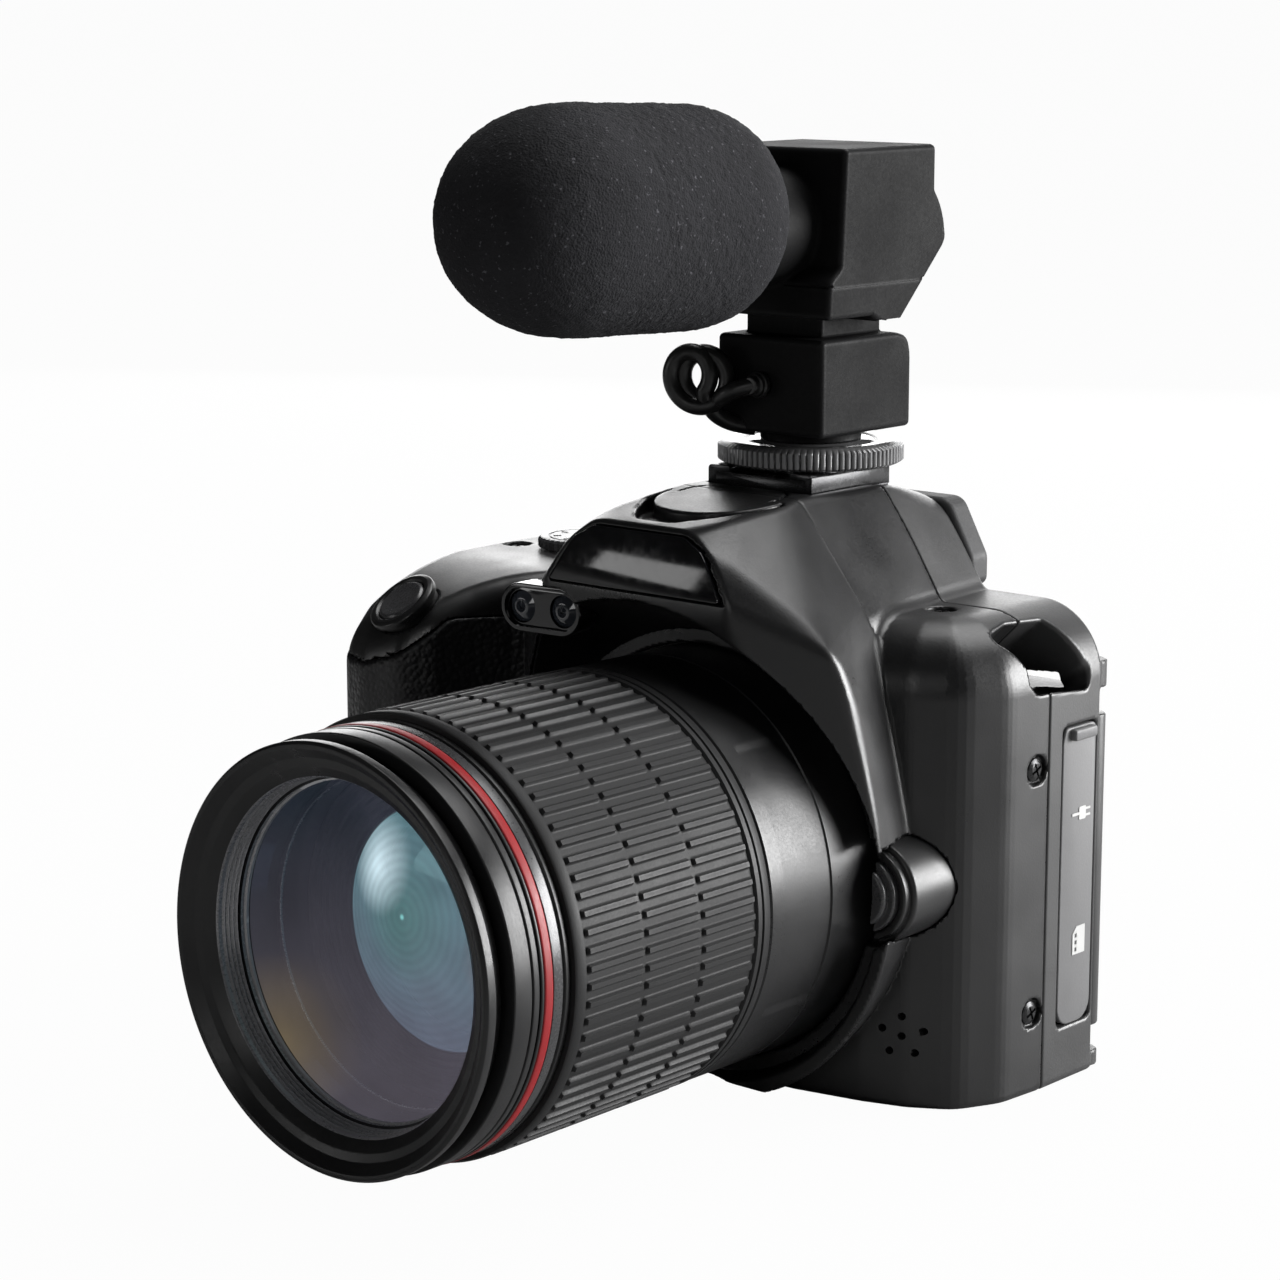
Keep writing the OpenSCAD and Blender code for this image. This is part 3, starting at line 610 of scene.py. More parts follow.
BLACK = material("case_plastic", (0.012, 0.012, 0.0125), 0.36, grain=3000, relief=0.012)
REAR = material("rear_case_plastic", (0.028, 0.028, 0.0285), 0.42, grain=2400, relief=0.02)
LEATHER = material("pebbled_skin", (0.010, 0.010, 0.011), 0.45, grain=4000, relief=0.16, cells=1150, wear_and_sheen=0.05)
GLOSS = material("gloss_plate", (0.006, 0.006, 0.007), 0.12, grain=900, relief=0.002, mottle=0.1, coat=0.6)
SHOE = material("shoe_steel", (0.03, 0.03, 0.031), 0.3, 0.7, grain=1800, relief=0.01, streak=(1, 6, 6))
RUBBER = material("soft_rubber", (0.016, 0.016, 0.017), 0.62, grain=2600, relief=0.03)
BUTTON = material("button_plastic", (0.045, 0.045, 0.047), 0.3, grain=2600, relief=0.01)
DOOR = material("door_rubber", (0.11, 0.11, 0.112), 0.5, grain=2600, relief=0.02)
STEEL = material("bright_steel", (0.20, 0.20, 0.205), 0.28, 1.0, grain=1500, relief=0.006, streak=(1, 1, 8))
SCREW = material("dark_screw_steel", (0.03, 0.03, 0.031), 0.3, 0.8, grain=1500, relief=0.01, wear_and_sheen=0.4)
BRASS = material("brass", (0.55, 0.38, 0.16), 0.3, 1.0, grain=1500, relief=0.008)
BOARD = material("board_green", (0.02, 0.09, 0.04), 0.45, grain=700, relief=0.02, mottle=0.2)
SENSOR = material("sensor_face", (0.06, 0.07, 0.12), 0.15, grain=1200, relief=0.002, coat=0.5)
CHASSIS = material("chassis_metal", (0.28, 0.28, 0.30), 0.4, 0.9, grain=1100, relief=0.01)
CARD = material("card_plastic", (0.03, 0.035, 0.06), 0.45, grain=2000, relief=0.01)
CELL = material("battery_wrap", (0.08, 0.085, 0.09), 0.4, grain=1500, relief=0.01)
SCREEN_FACE = material("screen_face", (0.008, 0.009, 0.012), 0.1, grain=500, relief=0.001, mottle=0.15, coat=0.8)
LENS_BLACK = material("lens_black", (0.010, 0.010, 0.0105), 0.38, grain=2600, relief=0.008, wear_and_sheen=0.2, spec=0.4)
LENS_GREY = material("lens_grey", (0.05, 0.05, 0.052), 0.3, 0.3, grain=2000, relief=0.006)
# painted highlight: a light grey colour and strongly lightened ridges make the thread rings read bright in the dim bore
THREAD = material("thread_rings", (0.26, 0.26, 0.27), 0.3, 0.3, grain=2000, relief=0.004, wear_and_sheen=1.5)
MATT = material("inner_flock", (0.008, 0.008, 0.008), 0.8, grain=1500, relief=0.02)
RED = material("red_ring", (0.24, 0.010, 0.013), 0.42, grain=1500, relief=0.004, spec=0.3)
GRIP = material("grip_rubber", (0.014, 0.014, 0.0145), 0.55, grain=3200, relief=0.02, wear_and_sheen=0.2, spec=0.25)
WHEEL = material("wheel_metal", (0.10, 0.10, 0.102), 0.28, 0.35, grain=1400, relief=0.008, wear_and_sheen=0.8)
MIC = material("mic_plastic", (0.008, 0.008, 0.0083), 0.6, grain=2200, relief=0.03, wear_and_sheen=0.8, spec=0.07)
MESH = material("capsule_mesh", (0.25, 0.25, 0.26), 0.35, 0.9, grain=2400, relief=0.05)
FOAM = material("foam", (0.022, 0.022, 0.024), 0.95, grain=2600, relief=0.30, mottle=0.15, wear_and_sheen=0.1, specks=2.4, spec=0.1)
CABLE = material("cable_jacket", (0.012, 0.012, 0.012), 0.35, grain=1800, relief=0.01)
ICON = material("icon_print", (0.42, 0.42, 0.415), 0.5, grain=3000, relief=0.004)
WINDOW = material("window_glass", (0.03, 0.034, 0.042), 0.06, grain=400, relief=0.001, mottle=0.4, coat=1.0)
FRONT_GLASS = front_glass_material()
INNER_GLASS = inner_glass_material()

# ---------- body ----------

SHUTTER_AT = (-50.0, -45.0, 76.4)
SHUTTER_UP = tuple(Vector((-0.15, -0.6, 0.78)).normalized())
BOSS_X, BOSS_Z = 34.0, AXIS_Z - 1
DIAL = (-44.0, -6.0)
SPEAKER = (35.7, 12.3)
HINGE = (44.8, 19.9)
DOOR_LOW, DOOR_HIGH = low("port_door"), high("port_door")
SCREEN_LOW, SCREEN_HIGH = low("screen_housing"), high("screen_housing")
REAR_FACE = 19.0
WALL = 2.2

PLAN = fillet([
    (SIDE_X, 60), (SIDE_X, 4, 6), (47.2, -6, 9), (43.4, -14.0, 8), (36.5, -18.2, 9), (29, -20.6, 9), (17, -23, 12),
    (3, -24.3, 12), (-26, -25, 3), (-35, -35, 6), (-38.5, -40, 6), (-42, -46.5, 6), (-46.5, -50.5, 6),
    (-54, -51.4, 6), (-60.2, -49.4, 3.5), (GRIP_X, -43, 3), (GRIP_X, 60)], 3)


def mirrored(points):
    return [(s * p[0], p[1], p[2]) for p in points for s in (-1, 1)]


COWL = hull_planes(mirrored([
    (19.6, -43.8, 81.5), (19.6, -43.8, 84), (15.5, -42.6, 91.4), (9.3, -41.8, 95.2), (12.5, -34.5, 96.2),
    (30, -34.5, 80.4), (33, -34, 77), (34.8, -31, 71), (36.2, -30.3, 64), (37.8, -29.5, 55), (39, -29, 45),
    (39.2, -28.5, 37), (13.3, -17, 97.6), (28, -17, 79), (31.5, -15, 68), (34.6, -15, 54), (36.4, -15, 44),
    (36.6, -15, 37)]))
HUMP = hull_planes(mirrored([
    (13.2, -18, 97.6), (28.1, -19, 79), (14, 6, 97.6), (16.5, 6, 94.6), (25.5, 6, 79), (28.1, -19, 60),
    (25.5, 6, 60), (11, 18.6, 94.6), (16.5, 18.6, 92), (24.3, 18.6, 80.5), (24.3, 18.6, 60)]))
ROOF = hull_planes(mirrored([(11.5, -34, 92), (13.5, -34, 84), (20.5, -19, 77), (20.5, 13.5, 77), (11.5, 12.5, 91)]))


def block_field(x, y, z):
    """The body without its viewfinder housing: plan, crowned top, sloping grip top and base."""
    top = z - (TOP_RIGHT + (TOP_LEFT - TOP_RIGHT) * smoothstep((-x - 8) / 12))
    slope = sum(n * (v - a) for n, v, a in zip(SHUTTER_UP, (x, y, z), SHUTTER_AT))
    crown = rmax(top, slope, 9.0)
    edge = 4.0 + 8.0 * smoothstep((x + 10) / 25)
    block = rmax(polygon_field(x, y, PLAN), crown, edge)
    block = rmax(block, y - REAR_FACE, 0.9)
    return rmax(block, -z, 1.2)


def radial(x, z, cx=0.0, cz=None):
    return np.sqrt((x - cx) ** 2 + (z - (AXIS_Z if cz is None else cz)) ** 2)


def disc_field(x, y, z):
    cone = (radial(x, z) - 41.0 + 0.3 * (y + 28.5)) / 1.044
    return np.maximum(rmax(cone, -(y + 28.5), 0.5), np.maximum(y + 15, np.maximum(0.6 - z, z - 37)))


def funnel_field(x, y, z, extra=0.0):
    cone = (radial(x, z) - 37.2 - extra + 0.4 * (y + 25.5)) / 1.077
    return np.maximum(cone, y + 25.5 - extra)


def tilted(x, y, z):
    """Coordinates in the plane of the strap window: across the shoulder, along it, and outwards."""
    return ((x - 36) - (z - 67.5)) / math.sqrt(2), y, ((x - 36) + (z - 67.5)) / math.sqrt(2)


STRAP = fillet([(-2.6, -4.8, 1), (-3.8, 0.6, 1), (-2.8, 9.2, 1), (-1.1, 10.2, 1), (5.6, 13.8, 2), (6.6, 15, 1),
                (9.2, 14.9, 1), (8.2, 0.8, 2), (6.8, -0.9, 1), (4.4, -1.0, 2), (1.6, -2.8, 2), (-0.8, -4.8, 1)], 3)


def strap_field(x, y, z, extra=0.0):
    u, v, w = tilted(x, y, z)
    window = rmax(polygon_field(u, v, STRAP) - extra, 1 - w - extra, 0.6)
    slot = box_field(x, y, z, (32 - extra, 9, 65.6 - extra), (43 + extra, 24, 68.4 + extra))
    return np.minimum(window, slot)


def shutter_space(x, y, z):
    """Distance from the shutter button's axis, and height along it."""
    d = [v - a for v, a in zip((x, y, z), SHUTTER_AT)]
    along = sum(n * v for n, v in zip(SHUTTER_UP, d))
    r2 = sum(v * v for v in d) - along * along
    return np.sqrt(np.maximum(r2, 0)), along


def lamp_space(x, y, z):
    """Coordinates at the two lamps: across, up and inwards."""
    c, s = math.cos(math.radians(4)), math.sin(math.radians(4))
    dx, dy = x + 21.2, y + 42.4
    return dx * c + dy * s, z - 78.8, -dx * s + dy * c


def capsule_field(x, y, z, r, start, end):
    u, v, w = lamp_space(x, y, z)
    across = np.sqrt(np.maximum(np.abs(u) - 4.3, 0) ** 2 + v * v) - r
    return np.maximum(across, np.maximum(start - w, w - end))


BADGE = [(-18.2, 1), (18.2, 1), (14.4, 7.2), (13.2, 8.6), (9.4, 10.6), (-9.4, 10.6), (-13.2, 8.6), (-14.4, 7.2)]
LEAN = math.atan2(2, 11.4)


def badge_space(x, y, z):
    """Coordinates on the leaning front of the housing: across, up it and outwards."""
    dy, dz = y + 43.9, z - 83.6
    return x, dz * math.cos(LEAN) + dy * math.sin(LEAN), -dy * math.cos(LEAN) + dz * math.sin(LEAN)


def skin_region(x, y, z, extra=0.0):
    """Where the pebbled skin lies, as a field."""
    slope = sum(n * (v - a) for n, v, a in zip(SHUTTER_UP, (x, y, z), SHUTTER_AT)) + 3.2
    field = rmax(x + 18 - extra, 5 - z - extra, 0.8)
    field = rmax(field, y + 22 - extra, 0.8)
    return rmax(rmax(field, slope - extra, 0.8), z - 75 - extra, 0.8)


SCREWS = [((46.8, 1, 54.8), 0), ((46.8, 1, 14), 0), ((30, -1.6, 78.3), 2), ((-56, -11, 80.8), 2),
          ((-30, 10, 1.15), 2), ((34, 10, 1.15), 2), ((-30, -16, 1.15), 2), ((30, -14, 1.15), 2)]
SCOOP = fillet([(0, -40.2, 3), (-3.8, -38.8, 2), (-8, -33.6, 6), (-11.6, -27, 6), (-12.9, -20, 2), (12.9, -20, 2),
                (11.6, -27, 6), (8, -33.6, 6), (3.8, -38.8, 2)], 4)
TOP_DISC_Y = -20.9
TOP_DISC_R = 11.6


def cavity_field(x, y, z, block):
    slabs = np.minimum(np.maximum(-22.4 - y, y - 14.5), np.maximum(x + 37, y + 20))
    hollow = np.maximum(block + WALL, slabs)
    hollow = np.minimum(hollow, planes_field(x, y, z, ROOF, 1.0))
    hollow = np.maximum(hollow, -funnel_field(x, y, z, WALL))
    for solid, lowest, highest in (
            (lambda *p: strap_field(*p, extra=1.6), (28, -10, 55), (60, 26, 90)),
            (lambda *p: box_field(*p, (-66, 3.4, 62.4), (-54.4, 16.6, 75.6)), (-66, 3.4, 62.4), (-54.4, 16.6, 75.6)),
            (lambda *p: column(*p, HINGE[0], HINGE[1], 4.6), (38, 13, -5), (52, 27, 90))):
        hollow = carve(hollow, x, y, z, solid, 0.05, lowest, highest)
    return hollow


def column(x, y, z, cx, cy, r, z0=-50.0, z1=150.0):
    """A vertical round bar."""
    return np.maximum(np.sqrt((x - cx) ** 2 + (y - cy) ** 2) - r, np.maximum(z0 - z, z - z1))


def bar(x, y, z, cx, cz, r, y0, y1):
    """A round bar that runs front to back."""
    return np.maximum(radial(x, z, cx, cz) - r, np.maximum(y0 - y, y - y1))


def scoop_field(x, y, z):
    """The tongue-shaped hollow in front of the round plate on top of the housing."""
    floor = 93.9 + 1.5 * smoothstep((-y - 33) / 7)
    disc = TOP_DISC_R - np.sqrt(x * x + (y - TOP_DISC_Y) ** 2)
    return rmax(rmax(polygon_field(x, y, SCOOP), floor - z, 0.5), disc, 0.4)


def plate_groove(x, y, z):
    ring = np.abs(np.sqrt(x * x + (y - TOP_DISC_Y - 0.8) ** 2) - 9.6) - 0.22
    return np.maximum(ring, 97.1 - z)


def shutter_well(x, y, z):
    r, h = shutter_space(x, y, z)
    return np.minimum(np.maximum(r - 5.7, np.maximum(-8 - h, h - 2)), np.maximum(r - 6.45, -0.2 - h))


def badge_seat(x, y, z):
    u, v, w = badge_space(x, y, z)
    return np.maximum(polygon_field(u, v, BADGE) - GAP, -1.2 - w)


def openings():
    """Every opening in the covers: (field, edge radius, lowest corner, highest corner)."""
    found = [
        (scoop_field, 0.5, (-14, -42, 92), (14, -16, 105)),
        (plate_groove, 0.1, (-12, -33, 96), (12, -8, 105)),
        (lambda x, y, z: bar(x, y, z, 0, AXIS_Z, 34.7, -70, -20), 0.4, (-35, -60, 3), (35, -20, 74)),
        (strap_field, 0.7, (28, -9, 58), (60, 26, 90)),
        (lambda *p: box_field(*p, (-66, 5, 64), (-56, 15, 74), 1.2), 0.6, (-66, 5, 64), (-56, 15, 74)),
        (lambda *p: column(*p, 0, 0, 6.9, -9, 12), 0.3, (-7, -7, -2), (7, 7, 12)),
        (shutter_well, 0.35, (-59, -56, 64), (-41, -34, 84)),
        (lambda *p: column(*p, *DIAL, 3.1, TOP_LEFT - 6, 90), 0.3, (-48, -10, 74), (-40, -2, 84)),
        (lambda x, y, z: bar(x, y, z, BOSS_X, BOSS_Z, 8.7, -40, -8), 0.3, (25, -40, 28), (43, -7, 47)),
        (lambda x, y, z: bar(x, y, z, BOSS_X, BOSS_Z, 6.5, -60, -8), 0.3, (27, -60, 30), (41, -7, 45)),
        (lambda *p: box_field(*p, (-58.8, -45.8, -3), (-41.8, -13.8, 3.2)), 0.3, (-59, -46, -3), (-41, -13, 4)),
        (lambda *p: box_field(*p, (-11.1, -12.1, 96.6), (11.1, 9.1, 120)), 0.3, (-12, -13, 96), (12, 10, 120)),
        (lambda *p: capsule_field(*p, 4.15, -8, 5), 0.5, (-31, -52, 73), (-11, -36, 85)),
        (badge_seat, 0.3, (-20, -48, 83), (20, -40, 97)),
        (lambda *p: box_field(*p, (SCREEN_LOW[0] - 0.6, 16.7, SCREEN_LOW[2] - 0.4),
                              (HINGE[0], 30, SCREEN_HIGH[2] + 0.4), 0.6), 0.5, (-30, 15, 2), (46, 30, 67)),
        (lambda *p: column(*p, *HINGE, 3.3, SCREEN_LOW[2] - 0.4, SCREEN_HIGH[2] + 0.4), 0.3, (40, 15, 2), (50, 25, 67)),
        (lambda *p: box_field(*p, (SIDE_X - 1.7, DOOR_LOW[1] - GAP, DOOR_LOW[2] - GAP),
                              (SIDE_X + 5, DOOR_HIGH[1] + GAP, DOOR_HIGH[2] + 0.3), 1.2), 0.4, (45, 6, 8), (60, 19, 62)),
        (lambda *p: box_field(*p, (SIDE_X - 6, DOOR_LOW[1] + 1, DOOR_LOW[2] + 3),
                              (SIDE_X + 3, DOOR_HIGH[1] - 2.8, DOOR_HIGH[2] - 6), 0.6), 0.4, (40, 8, 11), (54, 16, 56)),
        (lambda *p: box_field(*p, (-10.3, 11, 82.8), (10.3, 24, 91.2), 0.8), 0.6, (-12, 10, 81), (12, 25, 93)),
    ]
    for cx, cz, r in ((-36.5, 70, 2.7), (-50.5, 70, 2.7), (-38, 17, 2.7), (-45.5, 44, 9.1)):
        found.append((lambda x, y, z, c=(cx, cz, r): bar(x, y, z, *c, 10, 40), 0.4,
                      (cx - r, 10, cz - r), (cx + r, 25, cz + r)))
    for (sx, sy, sz), axis in SCREWS:
        if axis == 0:
            seat = lambda x, y, z, c=(sx, sy, sz): np.maximum(np.sqrt((y - c[1]) ** 2 + (z - c[2]) ** 2) - 2.5, c[0] - x)
            found.append((seat, 0.3, (sx, sy - 3, sz - 3), (sx + 5, sy + 3, sz + 3)))
        elif sz > 40:
            found.append((lambda *p, c=(sx, sy, 2.5, sz, 100): column(*p, *c), 0.3, (sx - 3, sy - 3, sz), (sx + 3, sy + 3, sz + 9)))
        else:
            found.append((lambda *p, c=(sx, sy, 2.5, -5, 1.2): column(*p, *c), 0.3, (sx - 3, sy - 3, -2), (sx + 3, sy + 3, 1.2)))
    return found


OPENINGS = openings()


def case_field(x, y, z):
    """Both covers: the outer shape, hollowed, with every opening."""
    block = block_field(x, y, z)
    cowl = planes_field(x, y, z, COWL, 1.1)
    housing = np.minimum(cowl, planes_field(x, y, z, HUMP, 1.1))
    body = rmin(block, housing, 1.6)
    body = np.minimum(body, disc_field(x, y, z))
    body = rmax(body, -funnel_field(x, y, z), 0.4)
    skin = np.maximum(skin_region(x, y, z, GAP), -(np.minimum(block, cowl) + 0.85))
    body = rmax(body, -skin, 0.3)
    ears = np.minimum(column(x, y, z, *HINGE, 2.7, 0.3, 3.1), column(x, y, z, *HINGE, 2.7, 65.4, 70))
    body = np.minimum(body, ears)
    body = np.maximum(body, -cavity_field(x, y, z, block))
    for opening, r, lowest, highest in OPENINGS:
        body = carve(body, x, y, z, opening, r, lowest, highest)
    return body


def drill_speaker(obj, field):
    """Six clean round holes, with the field's shading kept everywhere else."""
    centres = [SPEAKER] + [(SPEAKER[0] + 3.3 * math.cos(a), SPEAKER[1] + 3.3 * math.sin(a))
                           for a in (math.radians(72 * k + 90) for k in range(5))]
    bits = [lathe("bit", [(0.66, -30), (0.66, -8), (0.001, -8), (0.001, -30)], 28, centre=c, axis="y") for c in centres]
    cut(obj, join("bits", bits))
    mesh = obj.data
    count = len(mesh.vertices)
    place = np.empty(count * 3, np.float32)
    mesh.vertices.foreach_get("co", place)
    x, y, z = (place.reshape(-1, 3).astype(float) / MM).T
    h = 0.05
    f = field(x, y, z)
    g = np.stack([field(x + h, y, z) - f, field(x, y + h, z) - f, field(x, y, z + h) - f], 1)
    g /= np.linalg.norm(g, axis=1)[:, None] + 1e-9
    near = np.zeros(count, bool)
    for cx, cz in centres:
        near |= (np.hypot(x - cx, z - cz) < 0.7) & (y < -5)
    g[near] = 0
    corners = np.empty(len(mesh.loops), np.int32)
    mesh.loops.foreach_get("vertex_index", corners)
    mesh.shade_smooth()
    mesh.set_sharp_from_angle(angle=math.radians(50))
    mesh.normals_split_custom_set(g[corners].tolist())


def make_covers():
    front = lambda x, y, z: rmax(case_field(x, y, z), y - SPLIT_Y + GAP, 0.45)
    rear = lambda x, y, z: rmax(case_field(x, y, z), SPLIT_Y - y, 0.45)
    edge = 1.3
    obj = field_mesh("front_case", front, (GRIP_X - edge, -53, -edge), (SIDE_X + edge, SPLIT_Y + edge, 99.5), BODY_STEP)
    drill_speaker(obj, front)
    finish_piece(obj, "camera", BLACK, ["front_cover"])
    obj = field_mesh("rear_case", rear, (GRIP_X - edge, SPLIT_Y - edge, -edge), (SIDE_X + edge, 24, 99.5), BODY_STEP)
    finish_piece(obj, "camera", REAR, ["rear_cover"])


def make_skin():
    def skin(x, y, z):
        lap = 0.25
        body = np.minimum(block_field(x, y, z), planes_field(x, y, z, COWL, 1.1))
        field = np.maximum(body - lap, -(body + 0.75))
        field = rmax(field, skin_region(x, y, z), 0.35)
        field = np.maximum(field, 34.9 - radial(x, z))
        field = np.maximum(field, -funnel_field(x, y, z, 0.1))
        field = np.maximum(field, -(disc_field(x, y, z) - 0.1))
        return rmax(field, -capsule_field(x, y, z, 4.4, -8, 6), 0.3)
    obj = field_mesh("pebbled_grip_skin", skin, (GRIP_X - 1.3, -53.2, 4), (-17, -20.5, 77), BODY_STEP * 0.9)
    finish_piece(obj, "camera", LEATHER, ["grip_skin"])


make_covers()
make_skin()

# ---------- lens ----------


def blank(name, d0, r, edge, front, rear, steps=14):
    """A lens element: two bulging faces with a straight edge."""
    def face(bulge):
        ball = (r * r + bulge * bulge) / (2 * bulge)
        return [(ball * math.sin(a), bulge - ball * (1 - math.cos(a)))
                for a in np.linspace(0.0, math.asin(r / ball), steps)]
    profile = [(max(p[0], 0.001), d0 - p[1]) for p in face(front)]
    profile += [(max(p[0], 0.001), d0 + edge + p[1]) for p in reversed(face(rear))]
    return lathe(name, profile, 128, smooth=50)


def make_lens_rings():
    outer, funnel_in, thread = 33.0, 32.3, 27.1
    bore = 26.25
    profile = [(outer - 0.5, 0, 0.3), (outer, 0.5, 0.3), (outer, 2.1, 0.25), (31.2, 2.4, 0.2), (31.2, 4.9, 0.2),
               (29, 4.9), (29, 7.4), (bore + 0.01, 7.4), (bore + 0.01, 8.8), (25.9, 8.8, 0.1), (25.9, 8.2, 0.1)]
    turns = 5
    for k in range(turns):
        d = 7.9 - 0.8 * k
        profile += [(thread - 0.55 + 0.06 * k, d, 0.05), (thread, d - 0.4, 0.05)]
    profile += [(thread, 3.6, 0.1), (thread + 0.15, 3.3, 0.15), (29.0, 2.0, 1.2), (30.3, 1.6, 0.6), (funnel_in - 0.4, 0.15, 0.4)]
    bezel = lathe("front_bezel_ring", profile, 256, steps=3)
    finish_piece(bezel, "camera", [LENS_BLACK, THREAD], ["front_bezel"])
    # the thread and the ledge behind it take the lightened thread material: painted highlight
    for face in bezel.data.polygons:
        centre = face.center / MM
        inside = math.hypot(centre.x, centre.z - AXIS_Z) < thread + 0.25
        face.material_index = 1 if inside and centre.y - RIM_Y < 8.9 else 0

    profile = [(33.4, 5.4, 0.25), (33.4, 8.9, 0.15), (33.05, 9.05, 0.05), (33.05, 9.25, 0.05), (33.4, 9.4, 0.15),
               (33.4, 10.6, 0.25), (29.05, 10.6, 0.2), (29.05, 9.4), (31.4, 9.4), (31.4, 6.6), (29.05, 6.6), (29.05, 5.4, 0.2)]
    finish_piece(lathe("focus_grip_ring", profile, 256), "focus_grip", LENS_BLACK, ["focus_ring"])

    profile = [(33.45, 10.9, 0.2), (33.5, 11.4, 0.1), (32.4, 11.42), (32.4, 13.38), (33.5, 13.4, 0.1), (33.5, 15.3, 0.2),
               (33.1, 15.5, 0.1), (33.1, 15.75, 0.1), (33.5, 15.95, 0.2), (33.5, 17, 0.2), (29, 17, 0.1), (29, 91),
               (26.3, 91), (26.3, 15.6), (25.5, 15.4, 0.1), (25.5, 14.9, 0.1), (26.3, 14.8), (26.3, 7.5), (29, 7.5), (29, 10.85, 0.1)]
    tube = finish_piece(lathe("lens_tube_body", profile, 256), "camera", [LENS_BLACK, MATT, LENS_GREY, STEEL], ["lens_tube"])
    for face in tube.data.polygons:
        centre = face.center / MM
        r = math.hypot(centre.x, centre.z - AXIS_Z)
        d = centre.y - RIM_Y
        face.material_index = 1 if r < 27.5 else 2 if 13.4 < d < 15.4 and r > 33 else 0
        if r < 25.9 and 14.8 < d < 15.5:
            face.material_index = 3
    profile = [(33.6, 11.5, 0.35), (33.6, 13.3, 0.35), (32.36, 13.34), (32.36, 11.46)]
    finish_piece(lathe("red_accent_ring", profile, 256), "camera", RED, ["accent_ring"])

    glass = blank("front_glass", 9.2, 26.2, 3.4, 1.8, 1.6)
    finish_piece(glass, "camera", FRONT_GLASS, ["front_element"])
    glass = blank("focus_glass", 24.2, 19.1, 3.0, 4.4, 1.2)
    finish_piece(glass, "focus_group", INNER_GLASS, ["focus_element"])
    cell = [(bore, 21, 0.3), (bore, 29, 0.3), (19.2, 29, 0.2), (19.2, 23.8)]
    for k in range(6):
        cell += [(19.4 + k * 1.05, 23.6 - k * 0.4), (20.1 + k * 1.05, 23.6 - k * 0.4)]
    finish_piece(lathe("focus_cell_steps", cell, 160, smooth=20), "focus_group", MATT, ["focus_cell"])


def make_zoom_ring():
    """The rubber ring with three rows of raised ribs."""
    count, around = 80, 14
    base, top = 34.0, 34.62
    rows = ((19.9, 32.1), (32.7, 44.9), (45.5, 57.7))
    rise = 0.3
    stations = [17.1, 17.4, 19.2, 19.6]
    for a, b in rows:
        stations += [a - 0.05, a + rise * 0.5, a + rise, a + 1.2, (a + b) / 2, b - 1.2, b - rise, b - rise * 0.5, b + 0.05]
    stations += [57.9, 58.3, 59.2, 59.35, 59.6, 59.75, 61.1, 61.4]
    n = count * around
    angles = np.arange(n) * 2 * math.pi / n
    rings = []
    for d in stations:
        r = np.full(n, base)
        for a, b in rows:
            if a <= d <= b:
                rise_here = smoothstep((min(d - a, b - d)) / rise)
                phase = (np.arange(n) / around) % 1.0
                rib = smoothstep((0.24 - np.abs(phase - 0.5)) / 0.075)
                r = base + (top - base) * rise_here * rib
        if d < 19.3 or d > 58:
            r = r + 0.5
        if 59.3 < d < 59.65:
            r = r - 0.35
        if d in (17.1, 61.4):
            r = r - 0.25
        rings.append(np.stack([r * np.cos(angles), np.full(n, RIM_Y + d), r * np.sin(angles) + AXIS_Z], 1))
    for r, d in ((29.05, 61.4), (29.05, 58.4), (32.0, 58.4), (32.0, 20.0), (29.05, 20.0), (29.05, 17.1)):
        rings.append(np.stack([r * np.cos(angles), np.full(n, RIM_Y + d), r * np.sin(angles) + AXIS_Z], 1))
    m = len(rings)
    i = np.arange(n)
    j = (i + 1) % n
    faces = [np.stack([k * n + i, ((k + 1) % m) * n + i, ((k + 1) % m) * n + j, k * n + j], 1) for k in range(m)]
    obj = mesh_from("zoom_grip_ring", np.concatenate(rings), np.concatenate(faces).tolist())
    clean(obj, 0.0005)
    obj.data.shade_smooth()
    obj.data.set_sharp_from_angle(angle=math.radians(42))
    finish_piece(obj, "zoom_grip", GRIP, ["zoom_ring"])


def make_barrel():
    """The fixed barrel, with a hairline step and a long shallow panel on its port side."""
    around = 288
    angles = np.arange(around) * 2 * math.pi / around
    stations = [61.6, 61.9, 62.6, 65.0, 65.15, 66, 68, 70, 72, 74, 76.2, 76.35, 76.6, 76.75, 80, 84, 88, 89.05, 89.1]
    rings = []
    for d in stations:
        r = np.full(around, 34.4 if d > 61.7 else 34.1)
        if 76.3 < d < 76.7:
            r = r - 0.3
        if 65.1 < d < 76.3:
            turn = np.abs((angles - math.radians(8) + math.pi) % (2 * math.pi) - math.pi)
            r = r - 0.3 * smoothstep((math.radians(38) - turn) / math.radians(1.0))
        rings.append(np.stack([r * np.cos(angles), np.full(around, RIM_Y + d), r * np.sin(angles) + AXIS_Z], 1))
    for r, d in ((35.6, 89.15), (35.7, 90.9), (29.05, 91.1), (29.05, 64.6), (29.05, 61.6), (32.2, 61.6)):
        rings.append(np.stack([r * np.cos(angles), np.full(around, RIM_Y + d), r * np.sin(angles) + AXIS_Z], 1))
    m = len(rings)
    i = np.arange(around)
    j = (i + 1) % around
    faces = [np.stack([k * around + i, ((k + 1) % m) * around + i, ((k + 1) % m) * around + j, k * around + j], 1)
             for k in range(m)]
    obj = mesh_from("fixed_barrel", np.concatenate(rings), np.concatenate(faces).tolist())
    clean(obj, 0.0005)
    obj.data.shade_smooth()
    obj.data.set_sharp_from_angle(angle=math.radians(30))
    finish_piece(obj, "camera", LENS_BLACK, ["lens_barrel"])


# ---------- controls and fittings on the body ----------


